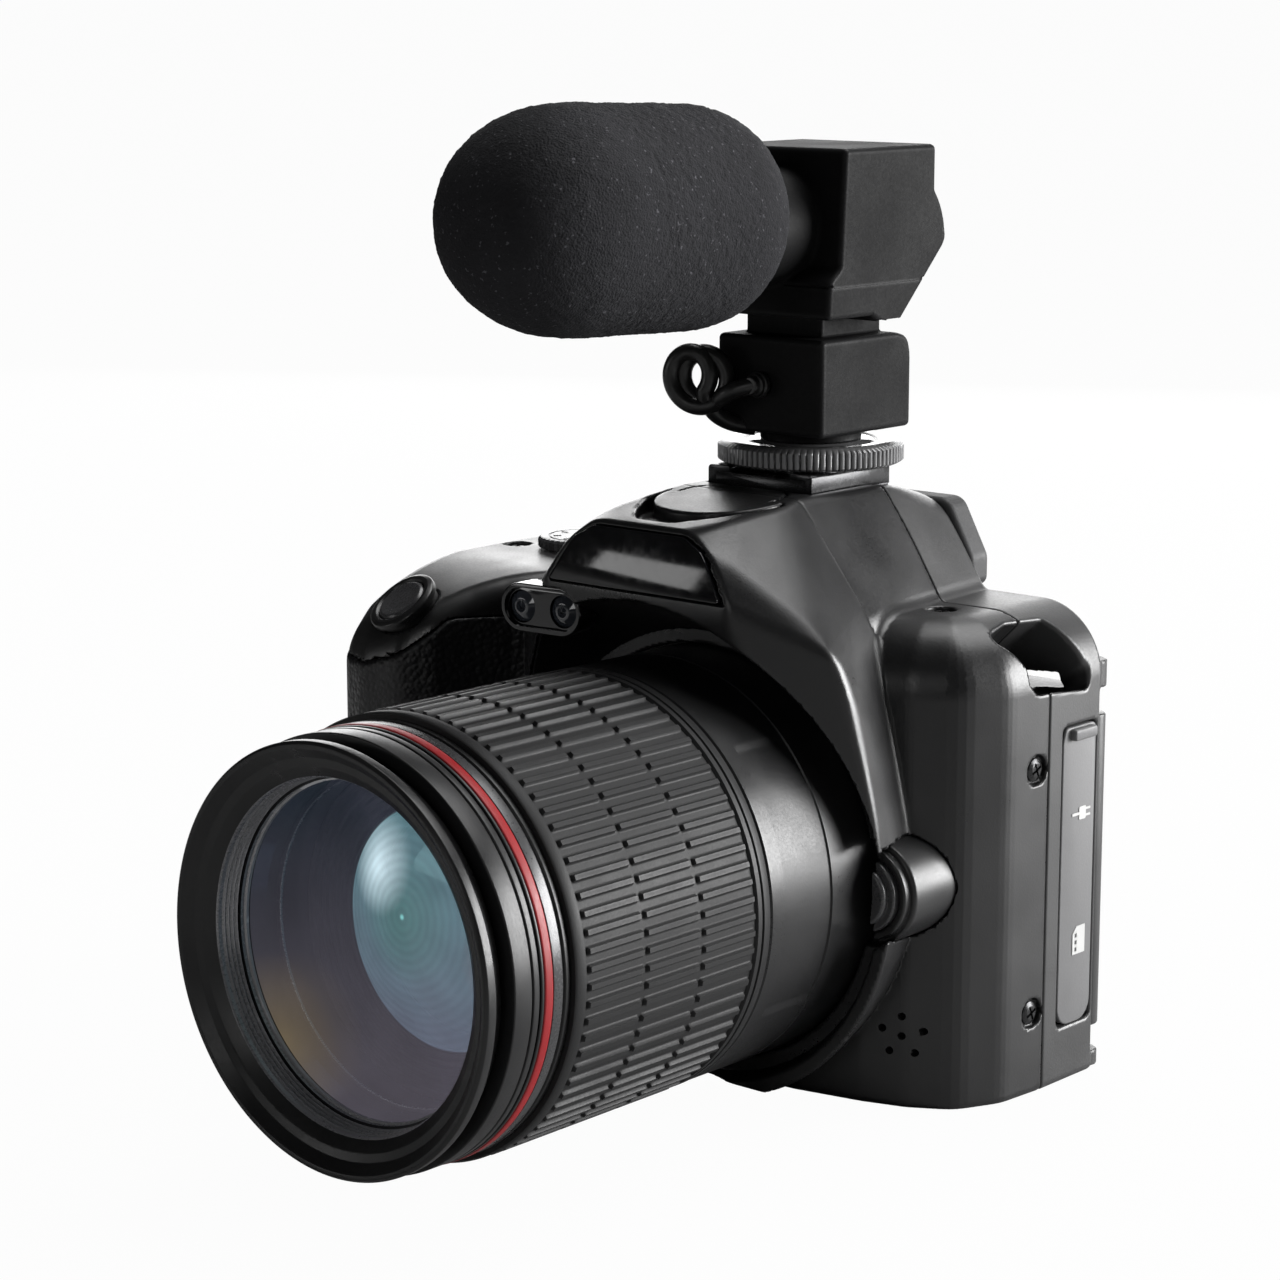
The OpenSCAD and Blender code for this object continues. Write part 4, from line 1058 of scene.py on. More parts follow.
def place_at_shutter(obj):
    """Moves a vertical piece made at the origin onto the sloping grip top."""
    turn = Vector((0, 0, 1)).rotation_difference(Vector(SHUTTER_UP)).to_matrix().to_4x4()
    obj.data.transform(Matrix.Translation(Vector(SHUTTER_AT) * MM) @ turn)
    return obj


def make_shutter():
    collar = lathe("shutter_collar_ring", [(6.3, 0.02, 0.1), (6.3, 1.1, 0.5), (5.5, 1.5, 0.3), (4.9, 1.5, 0.3),
                                           (4.5, 1.0, 0.2), (4.45, -3.2), (5.6, -3.2), (5.6, 0.0)], 128, axis="z")
    finish_piece(place_at_shutter(collar), "camera", BLACK, ["shutter_collar"])
    button = lathe("shutter_key_cap", [(0.001, 1.25), (2.2, 1.28, 1.5), (3.9, 1.6, 0.5), (4.4, 1.1, 0.3), (4.4, -1.6, 0.2),
                                       (0.001, -1.6)], 96, axis="z", steps=6)
    finish_piece(place_at_shutter(button), "shutter_key", BUTTON, ["shutter_button"])


def make_mode_dial():
    z0 = TOP_LEFT + 0.2
    teeth, fine = 40, 6
    n = teeth * fine
    angles = np.arange(n) * 2 * math.pi / n
    tooth = 0.16 * np.cos(angles * teeth)
    rings = []
    for r, z, t in ((3.0, z0 - 4.2, 0), (3.0, z0, 0), (8.0, z0, 0), (8.3, z0 + 0.25, 1), (8.35, z0 + 1.5, 1), (8.0, z0 + 1.9, 0.6),
                    (7.6, z0 + 2.0, 0), (6.9, z0 + 2.0, 0), (6.7, z0 + 1.85, 0), (6.5, z0 + 1.85, 0), (6.3, z0 + 2.0, 0), (0.5, z0 + 2.05, 0)):
        rr = r + t * tooth
        rings.append(np.stack([rr * np.cos(angles) + DIAL[0], rr * np.sin(angles) + DIAL[1], np.full(n, z)], 1))
    points = np.concatenate(rings)
    faces = []
    i = np.arange(n)
    j = (i + 1) % n
    for k in range(len(rings) - 1):
        faces += np.stack([k * n + i, k * n + j, (k + 1) * n + j, (k + 1) * n + i], 1).tolist()
    faces.append(list(range(n))[::-1])
    faces.append(list(range((len(rings) - 1) * n, len(rings) * n)))
    obj = mesh_from("mode_wheel_knurled", points, faces)
    clean(obj)
    obj.data.shade_smooth()
    obj.data.set_sharp_from_angle(angle=math.radians(30))
    marks = []
    for k in range(8):
        a = math.radians(45 * k)
        wide = 0.28 if k else 0.5
        mark = slab("mark", rect(4.4, -wide, 5.8, wide, 0.2), "z", z0 + 1.98, z0 + 2.12, 0.04, 1)
        mark.data.transform(Matrix.Translation(Vector((DIAL[0], DIAL[1], 0)) * MM) @ Matrix.Rotation(a, 4, "Z"))
        marks.append(mark)
    finish_piece(obj, "mode_wheel", BUTTON, ["mode_dial"])
    finish_piece(join("mode_wheel_marks", marks), "mode_wheel", ICON)


def make_release():
    """The half-round lens release: a housing and a pressed button, cut round by the lens barrel."""
    c = (BOSS_X, BOSS_Z)

    def housing(x, y, z):
        r = radial(x, z, *c)
        shell = rmax(r - 8.6, np.maximum(-24.6 - y, y + 8.2), 0.7)
        lip = rmax(r - 7.6, np.maximum(-26.0 - y, y + 20), 0.4)
        body = rmax(np.minimum(shell, lip), 36.3 - radial(x, z), 0.3)
        bore = np.minimum(np.maximum(r - 6.35, y + 15.5), r - 2.6)
        return rmax(body, -bore, 0.3)
    obj = field_mesh("release_housing_ring", housing, (25, -27, 28.2), (43.4, -7.4, 46.8), 0.25)
    finish_piece(obj, "camera", BLACK, ["release_housing"])

    def button(x, y, z):
        r = radial(x, z, *c)
        cap = rmax(r - 6.2, np.maximum(-27.0 - y, y + 18.2), 0.4)
        crown = rmax(r - 5.0, -28.2 - y, 0.6)
        body = np.minimum(cap, np.maximum(crown, y + 20))
        body = rmax(body, 36.5 - radial(x, z), 0.4)
        stem = np.maximum(r - 2.5, np.maximum(-18.5 - y, y + 12))
        return np.minimum(body, stem)
    obj = field_mesh("release_key_cap", button, (27, -29, 30.5), (41, -11.5, 44.5), 0.25)
    finish_piece(obj, "release_key", BUTTON, ["release_button"])


def make_lamps():
    """A stadium-shaped ring round two small windows."""
    turn = Matrix.Translation(Vector((-21.2, -42.4, 78.8)) * MM) @ Matrix.Rotation(math.radians(4), 4, "Z")
    half, r = 4.3, 4.0

    def stadium(radius, steps=20):
        right = [(half + radius * math.cos(a), radius * math.sin(a)) for a in np.linspace(-math.pi / 2, math.pi / 2, steps)]
        return right + [(-x, -y) for x, y in right]

    def ring(name, outer, inner, y0, y1, bevel):
        obj = slab(name, stadium(outer), "y", y0, y1, bevel, 3)
        tool = slab("tool", stadium(inner), "y", y0 - 3, y1 + 3, 0)
        return cut(obj, tool)
    rim = ring("rim", r, r - 0.75, -0.1, 4.6, 0.22)
    plate = slab("plate", stadium(r - 0.7), "y", 0.55, 4.8, 0.1, 2)
    for side in (-1, 1):
        hole = lathe("hole", [(2.75, -3), (2.75, 9), (0.001, 9), (0.001, -3)], 48, centre=(side * half, 0), axis="y")
        cut(plate, hole)
    bezel = join("lamp_bezel_ring", [rim, plate])
    bezel.data.transform(turn)
    finish_piece(bezel, "camera", GLOSS, ["lamp_bezel"])
    lenses = []
    for side in (-1, 1):
        lens = lathe("lens", [(0.001, 0.25), (1.4, 0.4, 0.5), (2.6, 0.95, 0.3), (2.7, 1.4), (2.7, 2.9), (0.001, 2.9)], 64,
                     centre=(side * half, 0), axis="y", smooth=50)
        lenses.append(lens)
    lens = join("lamp_windows", lenses)
    lens.data.transform(turn)
    finish_piece(lens, "camera", WINDOW, ["lamp_lenses"])


def make_badge():
    """The blank nameplate on the leaning front of the housing."""
    outline = fillet([(x * 0.995, y, r) for (x, y), r in zip(BADGE, (0.5, 0.5, 1, 1, 1.5, 1.5, 1, 1))], 4)
    obj = slab("blank_name_plate", outline, "y", -0.25, 1.0, 0.25, 3)
    lean = Matrix.Translation(Vector((0, -43.9, 83.6)) * MM) @ Matrix.Rotation(-LEAN, 4, "X")
    obj.data.transform(lean)
    finish_piece(obj, "camera", GLOSS, ["name_badge"])


def make_shoe():
    """The accessory shoe: a floor and two folded lips."""
    y0, y1, top = -12.0, 9.0, 100.6
    floor = slab("floor", rect(-11, y0, 11, y1, 0.6), "z", 96.7, 97.38, 0.12, 2)
    parts = [floor]
    for side in (-1, 1):
        lip = [(side * x, z) for x, z in ((11, 97.2), (11, top), (6.4, top), (6.4, 99.5), (9.35, 99.5), (9.35, 97.2))]
        rounded = fillet([(*lip[0], 0), (*lip[1], 0.7), (*lip[2], 0.3), (*lip[3], 0.2), (*lip[4], 0.1), (*lip[5], 0)], 4)
        parts.append(slab("lip", rounded, "y", y0, y1, 0.12, 2))
    front = slab("front", rect(-9.4, 97.2, 9.4, 99.55, 0.1), "y", y0, y0 + 1.4, 0.15, 2)
    parts.append(front)
    finish_piece(join("shoe_rails", parts), "camera", SHOE, ["accessory_shoe"])


def make_screws():
    """Cross-recessed screw heads."""
    made = []
    for (sx, sy, sz), axis in SCREWS:
        head = lathe("head", [(0.001, 0.78), (1.2, 0.74, 0.6), (2.0, 0.35, 0.25), (2.0, 0.02), (0.001, 0.02)], 48, axis="z")
        for turn in (0.4, 0.4 + math.pi / 2):
            slot = slab("slot", rect(-1.25, -0.24, 1.25, 0.24), "z", 0.25, 2, 0)
            slot.data.transform(Matrix.Rotation(turn, 4, "Z"))
            cut(head, slot)
        if axis == 0:
            head.data.transform(Matrix.Rotation(math.pi / 2, 4, "Y"))
        elif sz < 40:
            head.data.transform(Matrix.Rotation(math.pi, 4, "X"))
        head.data.transform(Matrix.Translation(Vector((sx, sy, sz)) * MM))
        made.append(head)
    finish_piece(join("cross_head_screws", made), "camera", SCREW, ["case_screws"])


def make_port_door():
    """The rubber door over the sockets, with a pull tab, a raised plug and a raised card."""
    (x0, y0, z0), (_, y1, z1) = DOOR_LOW, DOOR_HIGH
    z_top = 60.4
    outline = fillet([(y0, z0, 3.4), (y1, z0, 3.4), (y1, z_top, 1.2), (y0 + 0.8, z_top, 1.2), (y0, z_top - 2.5, 1.2)], 7)
    door = slab("plate", outline, "x", SIDE_X - 1.5, SIDE_X, 0.3, 4)
    tab = slab("tab", rect(y0 + 1.9, z_top - 2.2, y1 - 1.3, z_top - 0.3, 0.5), "x", SIDE_X - 0.4, SIDE_X + 1.2, 0.35, 3)
    finish_piece(join("port_door_flap", [door, tab]), "side_door", DOOR, ["port_door"])
    face, lift = SIDE_X - 0.02, 0.16
    sign = []
    py, pz = 13.5, 45.5

    def bar(a, b, wide):
        a, b = np.array(a, float), np.array(b, float)
        n = np.array([-(b - a)[1], (b - a)[0]]) / np.linalg.norm(b - a) * wide / 2
        sign.append(slab("bar", [tuple(a + n), tuple(b + n), tuple(b - n), tuple(a - n)], "x", face, face + lift, 0.05, 1))

    bar((py - 2.8, pz), (py - 0.7, pz), 0.5)
    sign.append(slab("plug", rect(py - 0.8, pz - 1.1, py + 1.2, pz + 1.1, 0.3), "x", face, face + lift, 0.05, 1))
    for prong in (pz - 0.55, pz + 0.55):
        bar((py + 1.1, prong), (py + 2.5, prong), 0.4)
    cy, cz = 13.4, 23.9
    card = [(cy - 1.7, cz - 2.4), (cy + 1.9, cz - 2.4), (cy + 1.9, cz + 2.4), (cy - 0.6, cz + 2.4), (cy - 1.7, cz + 1.2)]
    holes = [rect(cy - 1.1, z, cy - 0.5, z + 0.7) for z in (cz - 1.9, cz - 0.7, cz + 0.5)]
    card_sign = slab("card", card, "x", face, face + lift, 0.05, 1)
    cut(card_sign, *[slab("dash", hole, "x", face - 1, face + 1, 0) for hole in holes])
    sign.append(card_sign)
    finish_piece(join("port_door_signs", sign), "side_door", ICON)


def make_rear():
    """Screen, its hinge knuckle, the eyecup and the keys on the back."""
    (x0, y0, z0), (x1, y1, z1) = SCREEN_LOW, SCREEN_HIGH
    edge = 42.4
    parts = [slab("frame", rect(x0, z0, edge, z1, 3.0, 8), "y", y0, y1, 0.6, 4)]
    recess = slab("recess", rect(x0 + 5, z0 + 4.5, x0 + 65, z1 - 4.5, 1.0), "y", y1 - 1.6, y1 + 3, 0)
    notch_low = slab("notch", rect(edge - 1, z0 - 2, edge + 3, z0 + 3.9), "y", y0 - 2, y1 + 3, 0)
    notch_high = slab("notch", rect(edge - 1, z1 - 3.9, edge + 3, z1 + 2), "y", y0 - 2, y1 + 3, 0)
    frame_part = cut(parts[0], recess, notch_low, notch_high)
    web = slab("web", rect(edge - 2, y0 + 0.2, HINGE[0], y1 - 0.2, 0.3), "z", z0 + 4, z1 - 4, 0.2, 2)
    knuckle = lathe("knuckle", [(2.7, z0 + 4, 0.4), (2.7, z1 - 4, 0.4), (1.05, z1 - 4), (1.05, z0 + 4)], 64, centre=HINGE, axis="z")
    finish_piece(join("screen_frame", [frame_part, web, knuckle]), "screen", REAR, ["screen_housing"])
    pane = slab("screen_glass", rect(x0 + 5.1, z0 + 4.6, x0 + 64.9, z1 - 4.6, 0.9), "y", y1 - 1.5, y1 - 0.35, 0.2, 2)
    finish_piece(pane, "screen", SCREEN_FACE, ["screen_panel"])

    def ring(name, x, z, r, inner, top, body, node, dish):
        profile = [(inner, 15.8), (r, 15.8), (r, top - 0.5, 0.4), (r - 0.6, top, 0.3)]
        profile += [(max(inner, r * 0.45), top - dish, 0.6), (inner, top - dish)]
        obj = lathe(name, profile, 96, centre=(x, z), axis="y", steps=5)
        return finish_piece(obj, body, BUTTON, [node])
    ring("power_key_cap", -36.5, 70, 2.6, 0.001, 20.4, "power_key", "power_button", 0.15)
    ring("menu_key_cap", -50.5, 70, 2.6, 0.001, 20.4, "menu_key", "menu_button", 0.15)
    ring("play_key_cap", -38, 17, 2.6, 0.001, 20.4, "play_key", "play_button", 0.15)
    ring("pad_key_ring", -45.5, 44, 9.0, 3.85, 20.6, "pad_key", "pad_ring", 0.35)
    ring("ok_key_cap", -45.5, 44, 3.8, 0.001, 20.4, "ok_key", "ok_button", 0.2)
    marks = []
    for k in range(4):
        a = math.pi / 2 * k
        tip, side = 7.6, 0.6
        pts = [(tip, 0), (tip - 1.0, side), (tip - 1.0, -side)]
        turned = [(-45.5 + u * math.cos(a) - v * math.sin(a), 44 + u * math.sin(a) + v * math.cos(a)) for u, v in pts]
        marks.append(slab("mark", turned, "y", 20.5, 20.68, 0.03, 1))
    finish_piece(join("pad_arrows", marks), "pad_key", ICON)

    def cup(x, y, z):
        outer = rmax(polygon_field(x, z, CUP), np.maximum(18.0 - y, y - 23.6), 1.3)
        hole = rmax(polygon_field(x, z, CUP_HOLE) - 0.35 * np.maximum(y - 19.1, 0), y - 40, 0.5)
        return rmax(outer, -hole, 0.7)
    obj = field_mesh("eyecup_rubber", cup, (-22.6, 17.5, 78.4), (22.6, 24.4, 95), 0.4)
    finish_piece(obj, "camera", RUBBER, ["eyecup"])


CUP = fillet([(-21.6, 79.2, 1.5), (21.6, 79.2, 1.5), (21.6, 84.4, 3), (16.4, 94, 3), (-16.4, 94, 3), (-21.6, 84.4, 3)], 6)
CUP_HOLE = fillet([(-11.2, 82.8, 1.5), (11.2, 82.8, 1.5), (11.2, 90.8, 1.5), (-11.2, 90.8, 1.5)], 5)


def make_base():
    """The battery cover and the threaded tripod socket."""
    outline = rect(-57.1, -45.5, -42.1, -14, 1.2)
    door = slab("plate", outline, "z", 0, 1.8, 0.25, 2)
    hinge = lathe("hinge", [(1.4, -45.5, 0.2), (1.4, -14, 0.2), (0.86, -14), (0.86, -45.5)], 48, centre=(-57.1, 1.4), axis="y")
    grips = [slab("rib", rect(-46, y, -43.6, y + 0.6, 0.2), "z", -0.12, 0.3, 0.05, 1) for y in (-32, -30.4, -28.8, -27.2)]
    finish_piece(join("battery_cover", [door, hinge] + grips), "power_cover", BLACK, ["battery_door"])
    profile = [(6.8, 0, 0.2), (6.8, 2.3, 0.1), (5, 2.3), (5, 10, 0.3), (0.001, 10), (0.001, 8)]
    for k in range(6):
        z = 7.9 - 1.27 * k
        profile += [(2.75, z, 0.03), (3.15, z - 0.63, 0.03)]
    profile += [(2.75, 0.35, 0.05), (3.3, 0, 0.05)]
    obj = lathe("tripod_insert", profile, 96, axis="z", steps=2)
    finish_piece(obj, "camera", BRASS, ["tripod_socket"])


# ---------- microphone ----------

FOAM_LOW, FOAM_HIGH = low("windscreen"), high("windscreen")
WHEEL_LOW, WHEEL_HIGH = low("lock_wheel"), high("lock_wheel")
STEM = ((WHEEL_LOW[0] + WHEEL_HIGH[0]) / 2, (WHEEL_LOW[1] + WHEEL_HIGH[1]) / 2)
CAPSULE_Z = (low("mic_capsule")[2] + high("mic_capsule")[2]) / 2


def make_wheel():
    """The knurled disc that clamps the foot."""
    teeth, fine = 90, 8
    n = teeth * fine
    angles = np.arange(n) * 2 * math.pi / n
    tooth = np.sqrt(np.abs(np.cos(angles * teeth / 2)))
    r0, z0, z1 = 15.6, WHEEL_LOW[2], WHEEL_HIGH[2]
    rings = []
    for r, z, t in ((5.95, z0, 0), (14.2, z0, 0), (14.9, z0 + 0.35, 0.3), (15.1, z0 + 0.7, 1), (15.1, z1 - 0.7, 1), (14.9, z1 - 0.35, 0.3),
                    (14.3, z1, 0), (11.5, z1, 0), (11.1, z1 - 0.25, 0), (10.7, z1 - 0.25, 0), (10.3, z1, 0), (5.95, z1, 0)):
        rr = r + 0.5 * t * tooth
        rings.append(np.stack([rr * np.cos(angles) + STEM[0], rr * np.sin(angles) + STEM[1], np.full(n, z)], 1))
    m = len(rings)
    i = np.arange(n)
    j = (i + 1) % n
    faces = [np.stack([k * n + i, k * n + j, ((k + 1) % m) * n + j, ((k + 1) % m) * n + i], 1) for k in range(m)]
    obj = mesh_from("knurled_lock_wheel", np.concatenate(rings), np.concatenate(faces).tolist())
    clean(obj, 0.001)
    obj.data.shade_smooth()
    obj.data.set_sharp_from_angle(angle=math.radians(40))
    finish_piece(obj, "lock_disc", WHEEL, ["lock_wheel"])


MIC_BASE_PLANES = hull_planes([(s * 11.1, y, z) for s in (-1, 1) for y, z in (
    (-9.7, 106.3), (-9.7, 122.4), (11.5, 122.4), (13.7, 121.4), (14.6, 119.2), (14.6, 106.3))])


def make_mic():
    def body(x, y, z):
        face = -8.0 - 1.1 * (153.3 - z) / 18.6 - 2.6 * smoothstep((134.7 - z) / 3.1)
        ends = np.maximum(126 - z, z - 153.3)
        block = rmax(rmax(np.abs(x) - 14.3, np.maximum(face - y, y - 16.4), 0.9), ends, 0.9)
        drum = rmax(np.abs(x) - 14.3, np.sqrt((y - 6.4) ** 2 + (z - CAPSULE_Z + 3.2) ** 2) - 13.2, 0.9)
        shell = rmax(np.minimum(block, drum), (y - z + 117) / math.sqrt(2), 1.5)
        seam = np.maximum(np.abs(z - 131.4) - 0.12, -(shell + 0.2))
        shell = np.maximum(shell, -seam)
        front = rmax(bar(x, y, z, 0, CAPSULE_Z, 9.5, -39.8, -5), y + 5, 0.1)
        shell = rmin(shell, front, 0.8)
        return rmax(shell, -bar(x, y, z, 0, CAPSULE_Z, 7.0, -60, -12), 0.4)
    obj = field_mesh("microphone_case", body, (-15, -41, 125), (15, 21, 154.4), 0.45)
    finish_piece(obj, "microphone", MIC, ["mic_body"])

    def base(x, y, z):
        block = planes_field(x, y, z, MIC_BASE_PLANES, 0.9)
        neck = column(x, y, z, *STEM, 8.5, 104.7, 108)
        upper = box_field(x, y, z, (-8, -6, 121), (8, 10, 126.05), 0.6)
        solid = rmin(rmin(block, neck, 0.5), upper, 0.4)
        solid = np.maximum(solid, -column(x, y, z, *STEM, 2, 100, 108))
        solid = rmax(solid, -bar(x, y, z, -1.3, 114.5, 1.7, -20, -3), 0.3)
        return rmax(solid, -box_field(x, y, z, (-5, 12.6, 107.6), (4, 18, 110.6), 0.3), 0.2)
    obj = field_mesh("microphone_base", base, (-12, -11, 104), (12, 15.5, 127.4), 0.4)
    finish_piece(obj, "microphone", MIC, ["mic_base"])
    foot = slab("foot", rect(-9.2, -10, 9.2, 8, 0.8), "z", 97.5, 99.3, 0.25, 3)
    stem = lathe("stem", [(5.9, 99.2), (5.9, 104.68), (2.2, 104.68), (2.2, 99.2)], 96, centre=STEM, axis="z")
    finish_piece(join("microphone_foot", [foot, stem]), "microphone", SHOE, ["mic_foot"])
    capsule = [(0.001, -39), (5.9, -39, 0.8), (6.7, -38.2, 0.4)]
    for k in range(8):
        y = -37 + 2 * k
        capsule += [(6.85, y, 0.1), (6.85, y + 1.3, 0.1), (6.5, y + 1.45, 0.05), (6.5, y + 1.85, 0.05)]
    capsule += [(6.85, -20.6, 0.2), (6.85, -20), (0.001, -20)]
    obj = lathe("microphone_capsule", capsule, 96, centre=(0, CAPSULE_Z), axis="y", steps=2)
    finish_piece(obj, "microphone", MESH, ["mic_capsule"])
    knob = slab("slide_knob", rect(-4.9, 107.7, -1.4, 110.5, 0.4), "y", 12.7, 14.7, 0.25, 2)
    finish_piece(knob, "switch_key", BUTTON, ["mic_switch"])


def make_foam():
    """The foam windscreen: a blunt-ended sleeve with an open-cell skin."""
    radius = (FOAM_HIGH[0] - FOAM_LOW[0]) / 2
    lift = math.radians(2.0)
    length = 63.6
    middle = Vector((0, -16.6 - length / 2, 143.5))
    around = 420
    angles = np.arange(around) * 2 * math.pi / around
    t = np.linspace(0, math.pi / 2, 46)
    front = [(radius * math.sin(a) ** 0.88, 23 * (1 - math.cos(a) ** 0.88)) for a in t]
    rear = [(radius * math.sin(a) ** 0.92, length - 16.5 * (1 - math.cos(a) ** 0.92)) for a in t[::-1]]
    straight = [(radius, 23 + (length - 39.5) * k / 76) for k in range(1, 76)]
    profile = front[1:] + straight + rear[:-1]
    rings = []
    turn = Matrix.Rotation(-lift, 3, "X")
    for r, d in profile:
        ring = np.stack([r * np.cos(angles), np.full(around, d - length / 2), r * np.sin(angles)], 1)
        rings.append(ring)
    points = np.concatenate(rings)
    points = points @ np.array(turn).T + np.array(middle)
    axis_line = np.stack([0 * points[:, 0], points[:, 1], middle.z + (points[:, 1] - middle.y) * -math.tan(lift)], 1)
    out = points - axis_line
    out = out / np.maximum(np.linalg.norm(out, axis=1), 1e-6)[:, None]
    lumps = 0.10 * value_noise(points, 3.1, 7) + 0.10 * value_noise(points, 0.8, 11) + 0.10 * value_noise(points, 0.42, 5)
    points = points + out * (lumps[:, None] + 0.12)
    m = len(profile)
    i = np.arange(around)
    j = (i + 1) % around
    faces = []
    for k in range(m - 1):
        faces += np.stack([k * around + i, (k + 1) * around + i, (k + 1) * around + j, k * around + j], 1).tolist()
    faces.append(list(range(around))[::-1])
    faces.append(list(range((m - 1) * around, m * around)))
    obj = mesh_from("foam_windscreen", points, faces)
    clean(obj, 0.001)
    bore = lathe("bore", [(9.7, -44), (9.7, 5), (0.001, 5), (0.001, -44)], 96, centre=(0, CAPSULE_Z), axis="y")
    shelf = slab("shelf", rect(-14.5, 122, 14.5, 153.6, 1.0), "y", -13.7, 5, 0)
    cut(obj, bore, shelf)
    obj.data.shade_smooth()
    finish_piece(obj, "foam_cover", FOAM, ["windscreen"])


def make_cable():
    """The lead leaves the front of the block, loops and goes back under it."""
    lead = bpy.data.curves.new("coiled_lead", "CURVE")
    lead.dimensions = "3D"
    lead.bevel_depth = 1.45 * MM
    lead.bevel_resolution = 6
    spline = lead.splines.new("NURBS")
    steps = 80
    turns, reach = 1.9, 4.2
    centre = Vector((-11.6, -14.2, 115.0))
    path = [(-1.3, -12.0, 114.5), (-3.5, -13.6, 114.0), (-6.0, -14.6, 112.6)]
    for k in range(steps + 1):
        t = k / steps
        a = math.radians(-70 - 360 * turns * t)
        side = 1.5 - 3.0 * t + 1.0 * math.sin(math.pi * t)
        path.append((centre.x + side + 0.92 * reach * math.cos(a), centre.y + 1.4 - 3.2 * t + 0.4 * reach * math.cos(a),
                     centre.z + 0.4 * math.sin(9 * t) + reach * math.sin(a)))
    path += [(-9.6, -12.5, 108.6), (-7.0, -9.5, 107.2), (-4.5, -7.5, 106.9)]
    spline.points.add(len(path) - 1)
    for point, p in zip(spline.points, path):
        point.co = (*(Vector(p) * MM), 1)
    spline.use_endpoint_u = True
    spline.order_u = 4
    lead.use_fill_caps = True
    obj = bpy.data.objects.new("coiled_lead", lead)
    bpy.context.scene.collection.objects.link(obj)
    finish_piece(obj, "microphone", CABLE, ["mic_cable"])
    boot = lathe("lead_boot", [(0.001, -3.2), (1.6, -3.2), (1.6, -10.2, 0.2), (2.2, -10.3, 0.2), (2.2, -11.2, 0.2), (1.9, -11.4, 0.1),
                               (1.9, -12.0, 0.1), (1.55, -12.2, 0.1), (1.5, -13.2, 0.3), (0.001, -13.2)], 48, centre=(-1.3, 114.5), axis="y")
    finish_piece(boot, "microphone", CABLE)


# ---------- the parts inside, which keep their CAD shape ----------

KEPT = {
    "eyepiece_glass": (WINDOW, "window_glass"), "strap_pin": (STEEL, "steel"), "port_sockets": (STEEL, "steel"),
    "memory_card": (CARD, "card"), "battery": (CELL, "battery"), "door_pin": (STEEL, "steel"),
    "main_board": (BOARD, "board_green"), "sensor_board": (BOARD, "board_green"), "image_sensor": (SENSOR, "sensor"),
    "speaker": (MATT, "lens_black"), "chassis": (CHASSIS, "chassis_metal"), "screen_pins": (STEEL, "steel"),
    "aperture_plate": (MATT, "lens_black"), "zoom_cell": (MATT, "lens_black"), "zoom_element": (INNER_GLASS, "lens_glass_inner"),
}


def dress_kept_nodes():
    for node, (mat, name) in KEPT.items():
        obj = frame["nodes"][node]
        if obj.material_slots:
            for slot_ in obj.material_slots:
                slot_.link = "OBJECT"
                slot_.material = mat
        else:
            obj.data.materials.append(mat)
        edges = obj.modifiers.new("soft_edges", "BEVEL")
        edges.width = 0.15 * MM
        edges.segments = 2
        edges.limit_method = "ANGLE"
        edges.angle_limit = math.radians(50)


make_lens_rings()
make_zoom_ring()
make_barrel()
make_shutter()
make_mode_dial()
make_release()
make_lamps()
make_badge()
make_shoe()
make_screws()
make_port_door()
make_rear()
make_base()
make_wheel()
make_mic()
make_foam()
make_cable()
dress_kept_nodes()

# ---------- stage ----------


def area_light(name, at, target, size, power, colour=(1, 1, 1)):
    light = bpy.data.lights.new(name, "AREA")
    light.shape = "RECTANGLE"
    light.size, light.size_y = size
    light.energy = power
    light.color = colour
    obj = new_object(name, light)
    obj.location = at
    obj.rotation_euler = (Vector(target) - Vector(at)).to_track_quat("-Z", "Y").to_euler()
    return obj


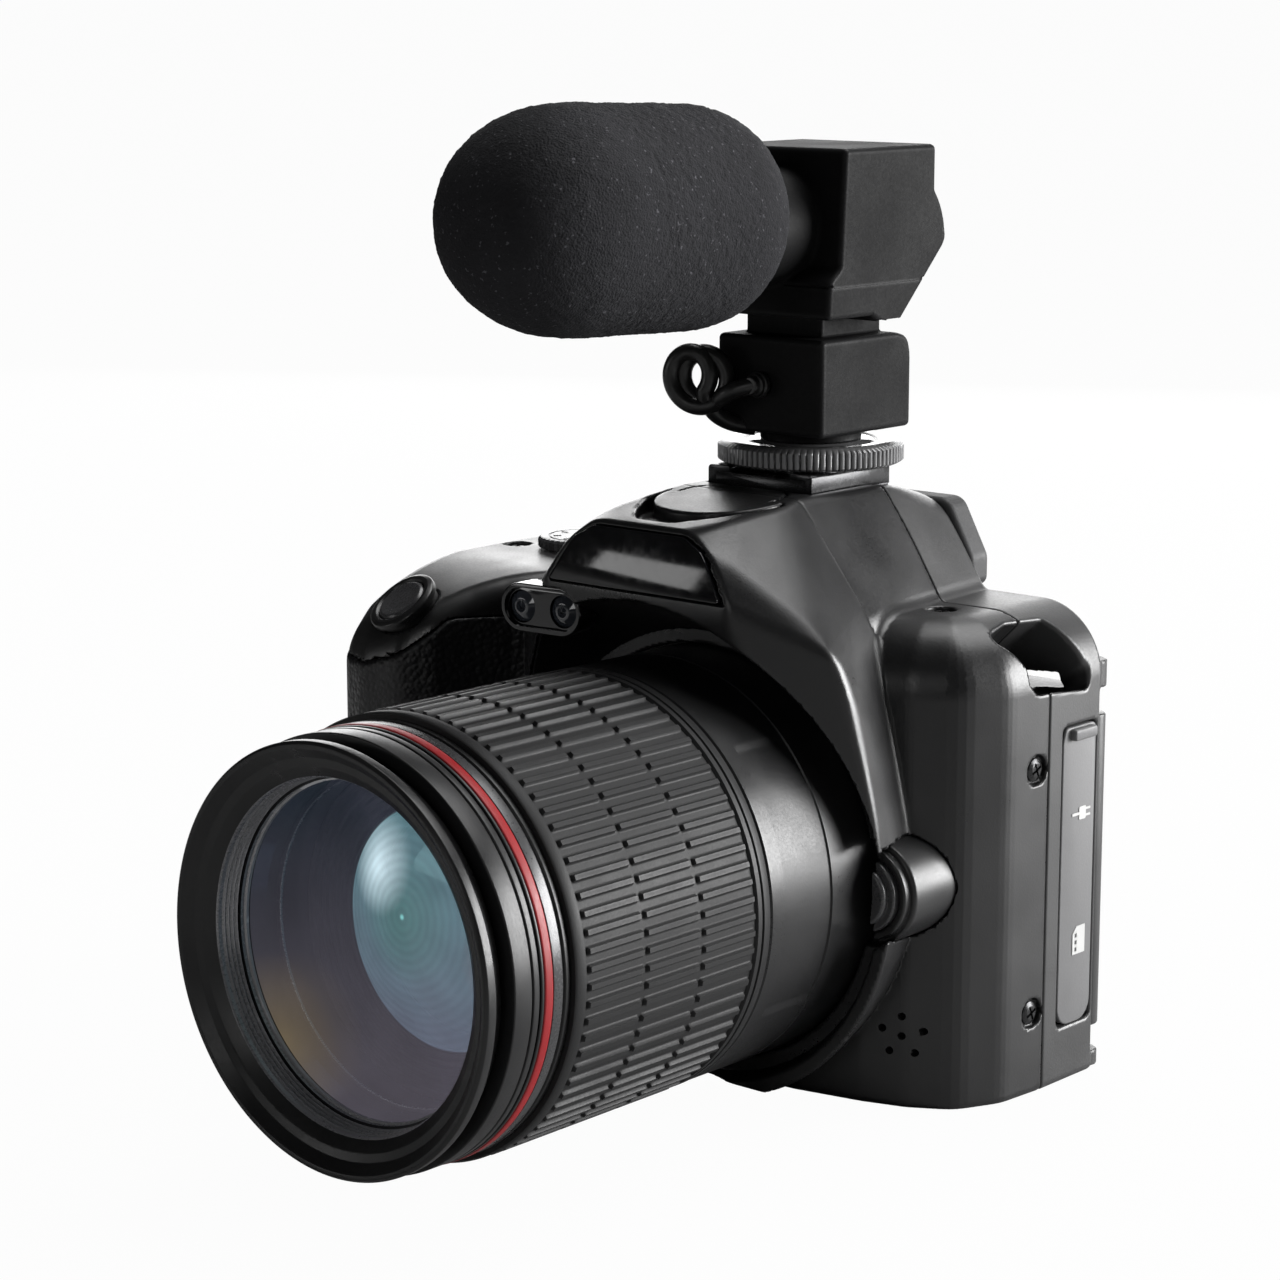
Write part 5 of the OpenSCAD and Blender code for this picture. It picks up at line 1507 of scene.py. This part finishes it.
def make_stage():
    wide = 60000
    floor = mesh_from("floor", [(-wide, -wide, 0), (wide, -wide, 0), (wide, wide, 0), (-wide, wide, 0)], [(0, 1, 2, 3)])
    mat = bpy.data.materials.new("pale_floor")
    mat.use_nodes = True
    nodes, links = mat.node_tree.nodes, mat.node_tree.links
    paint = nodes["Principled BSDF"]
    paint.inputs["Base Color"].default_value = (0.45, 0.45, 0.45, 1)
    paint.inputs["Roughness"].default_value = 0.9
    bright = nodes.new("ShaderNodeEmission")
    blend = nodes.new("ShaderNodeMixShader")
    ray = nodes.new("ShaderNodeLightPath")
    share = nodes.new("ShaderNodeMath")
    share.operation = "MULTIPLY"
    share.inputs[1].default_value = 0.97
    links.new(ray.outputs["Is Camera Ray"], share.inputs[0])
    links.new(share.outputs[0], blend.inputs[0])
    links.new(paint.outputs[0], blend.inputs[1])
    links.new(bright.outputs[0], blend.inputs[2])
    links.new(blend.outputs[0], nodes["Material Output"].inputs["Surface"])
    floor.data.materials.append(mat)
    scene = bpy.context.scene
    world = bpy.data.worlds.new("studio")
    scene.world = world
    world.use_nodes = True
    nodes, links = world.node_tree.nodes, world.node_tree.links
    for n in list(nodes):
        nodes.remove(n)
    out = nodes.new("ShaderNodeOutputWorld")
    mix = nodes.new("ShaderNodeMixShader")
    seen = nodes.new("ShaderNodeBackground")
    seen.inputs["Strength"].default_value = 1.0
    seen.inputs["Color"].default_value = (1, 1, 1, 1)
    felt = nodes.new("ShaderNodeBackground")
    felt.inputs["Strength"].default_value = 0.02
    path = nodes.new("ShaderNodeLightPath")
    links.new(path.outputs["Is Camera Ray"], mix.inputs[0])
    links.new(felt.outputs[0], mix.inputs[1])
    links.new(seen.outputs[0], mix.inputs[2])
    links.new(mix.outputs[0], out.inputs[0])
    scene.view_settings.view_transform = "Standard"
    target = (0, -0.03, 0.07)
    area_light("top_softbox", (0.05, 0.35, 0.95), target, (0.8, 0.6), 9)
    area_light("port_softbox", (0.85, 0.75, 0.16), target, (0.7, 0.8), 38)
    area_light("rear_softbox", (-0.50, 0.78, 0.26), target, (0.9, 0.45), 5)
    area_light("front_fill", (-0.60, -0.85, 0.18), target, (0.4, 0.16), 0.5)
    area_light("lens_kicker", (0.25, -0.9, 0.35), target, (0.25, 0.35), 0.6)


def make_camera():
    """The viewpoint, about half a metre off the lens side and slightly above."""
    data = bpy.data.cameras.new("viewpoint")
    data.sensor_width = 36
    data.lens = 93.32
    data.clip_start = 0.01
    obj = new_object("viewpoint", data)
    right = Vector((0.751649, 0.659563, -0.000067))
    up = Vector((-0.127131, 0.144981, 0.981233))
    back = Vector((0.647195, -0.737535, 0.192826))
    turn = Matrix((right, up, back)).transposed().to_4x4()
    obj.matrix_world = Matrix.Translation((0.342998, -0.432724, 0.178586)) @ turn
    bpy.context.scene.camera = obj


make_stage()
make_camera()
bpy.context.view_layer.update()
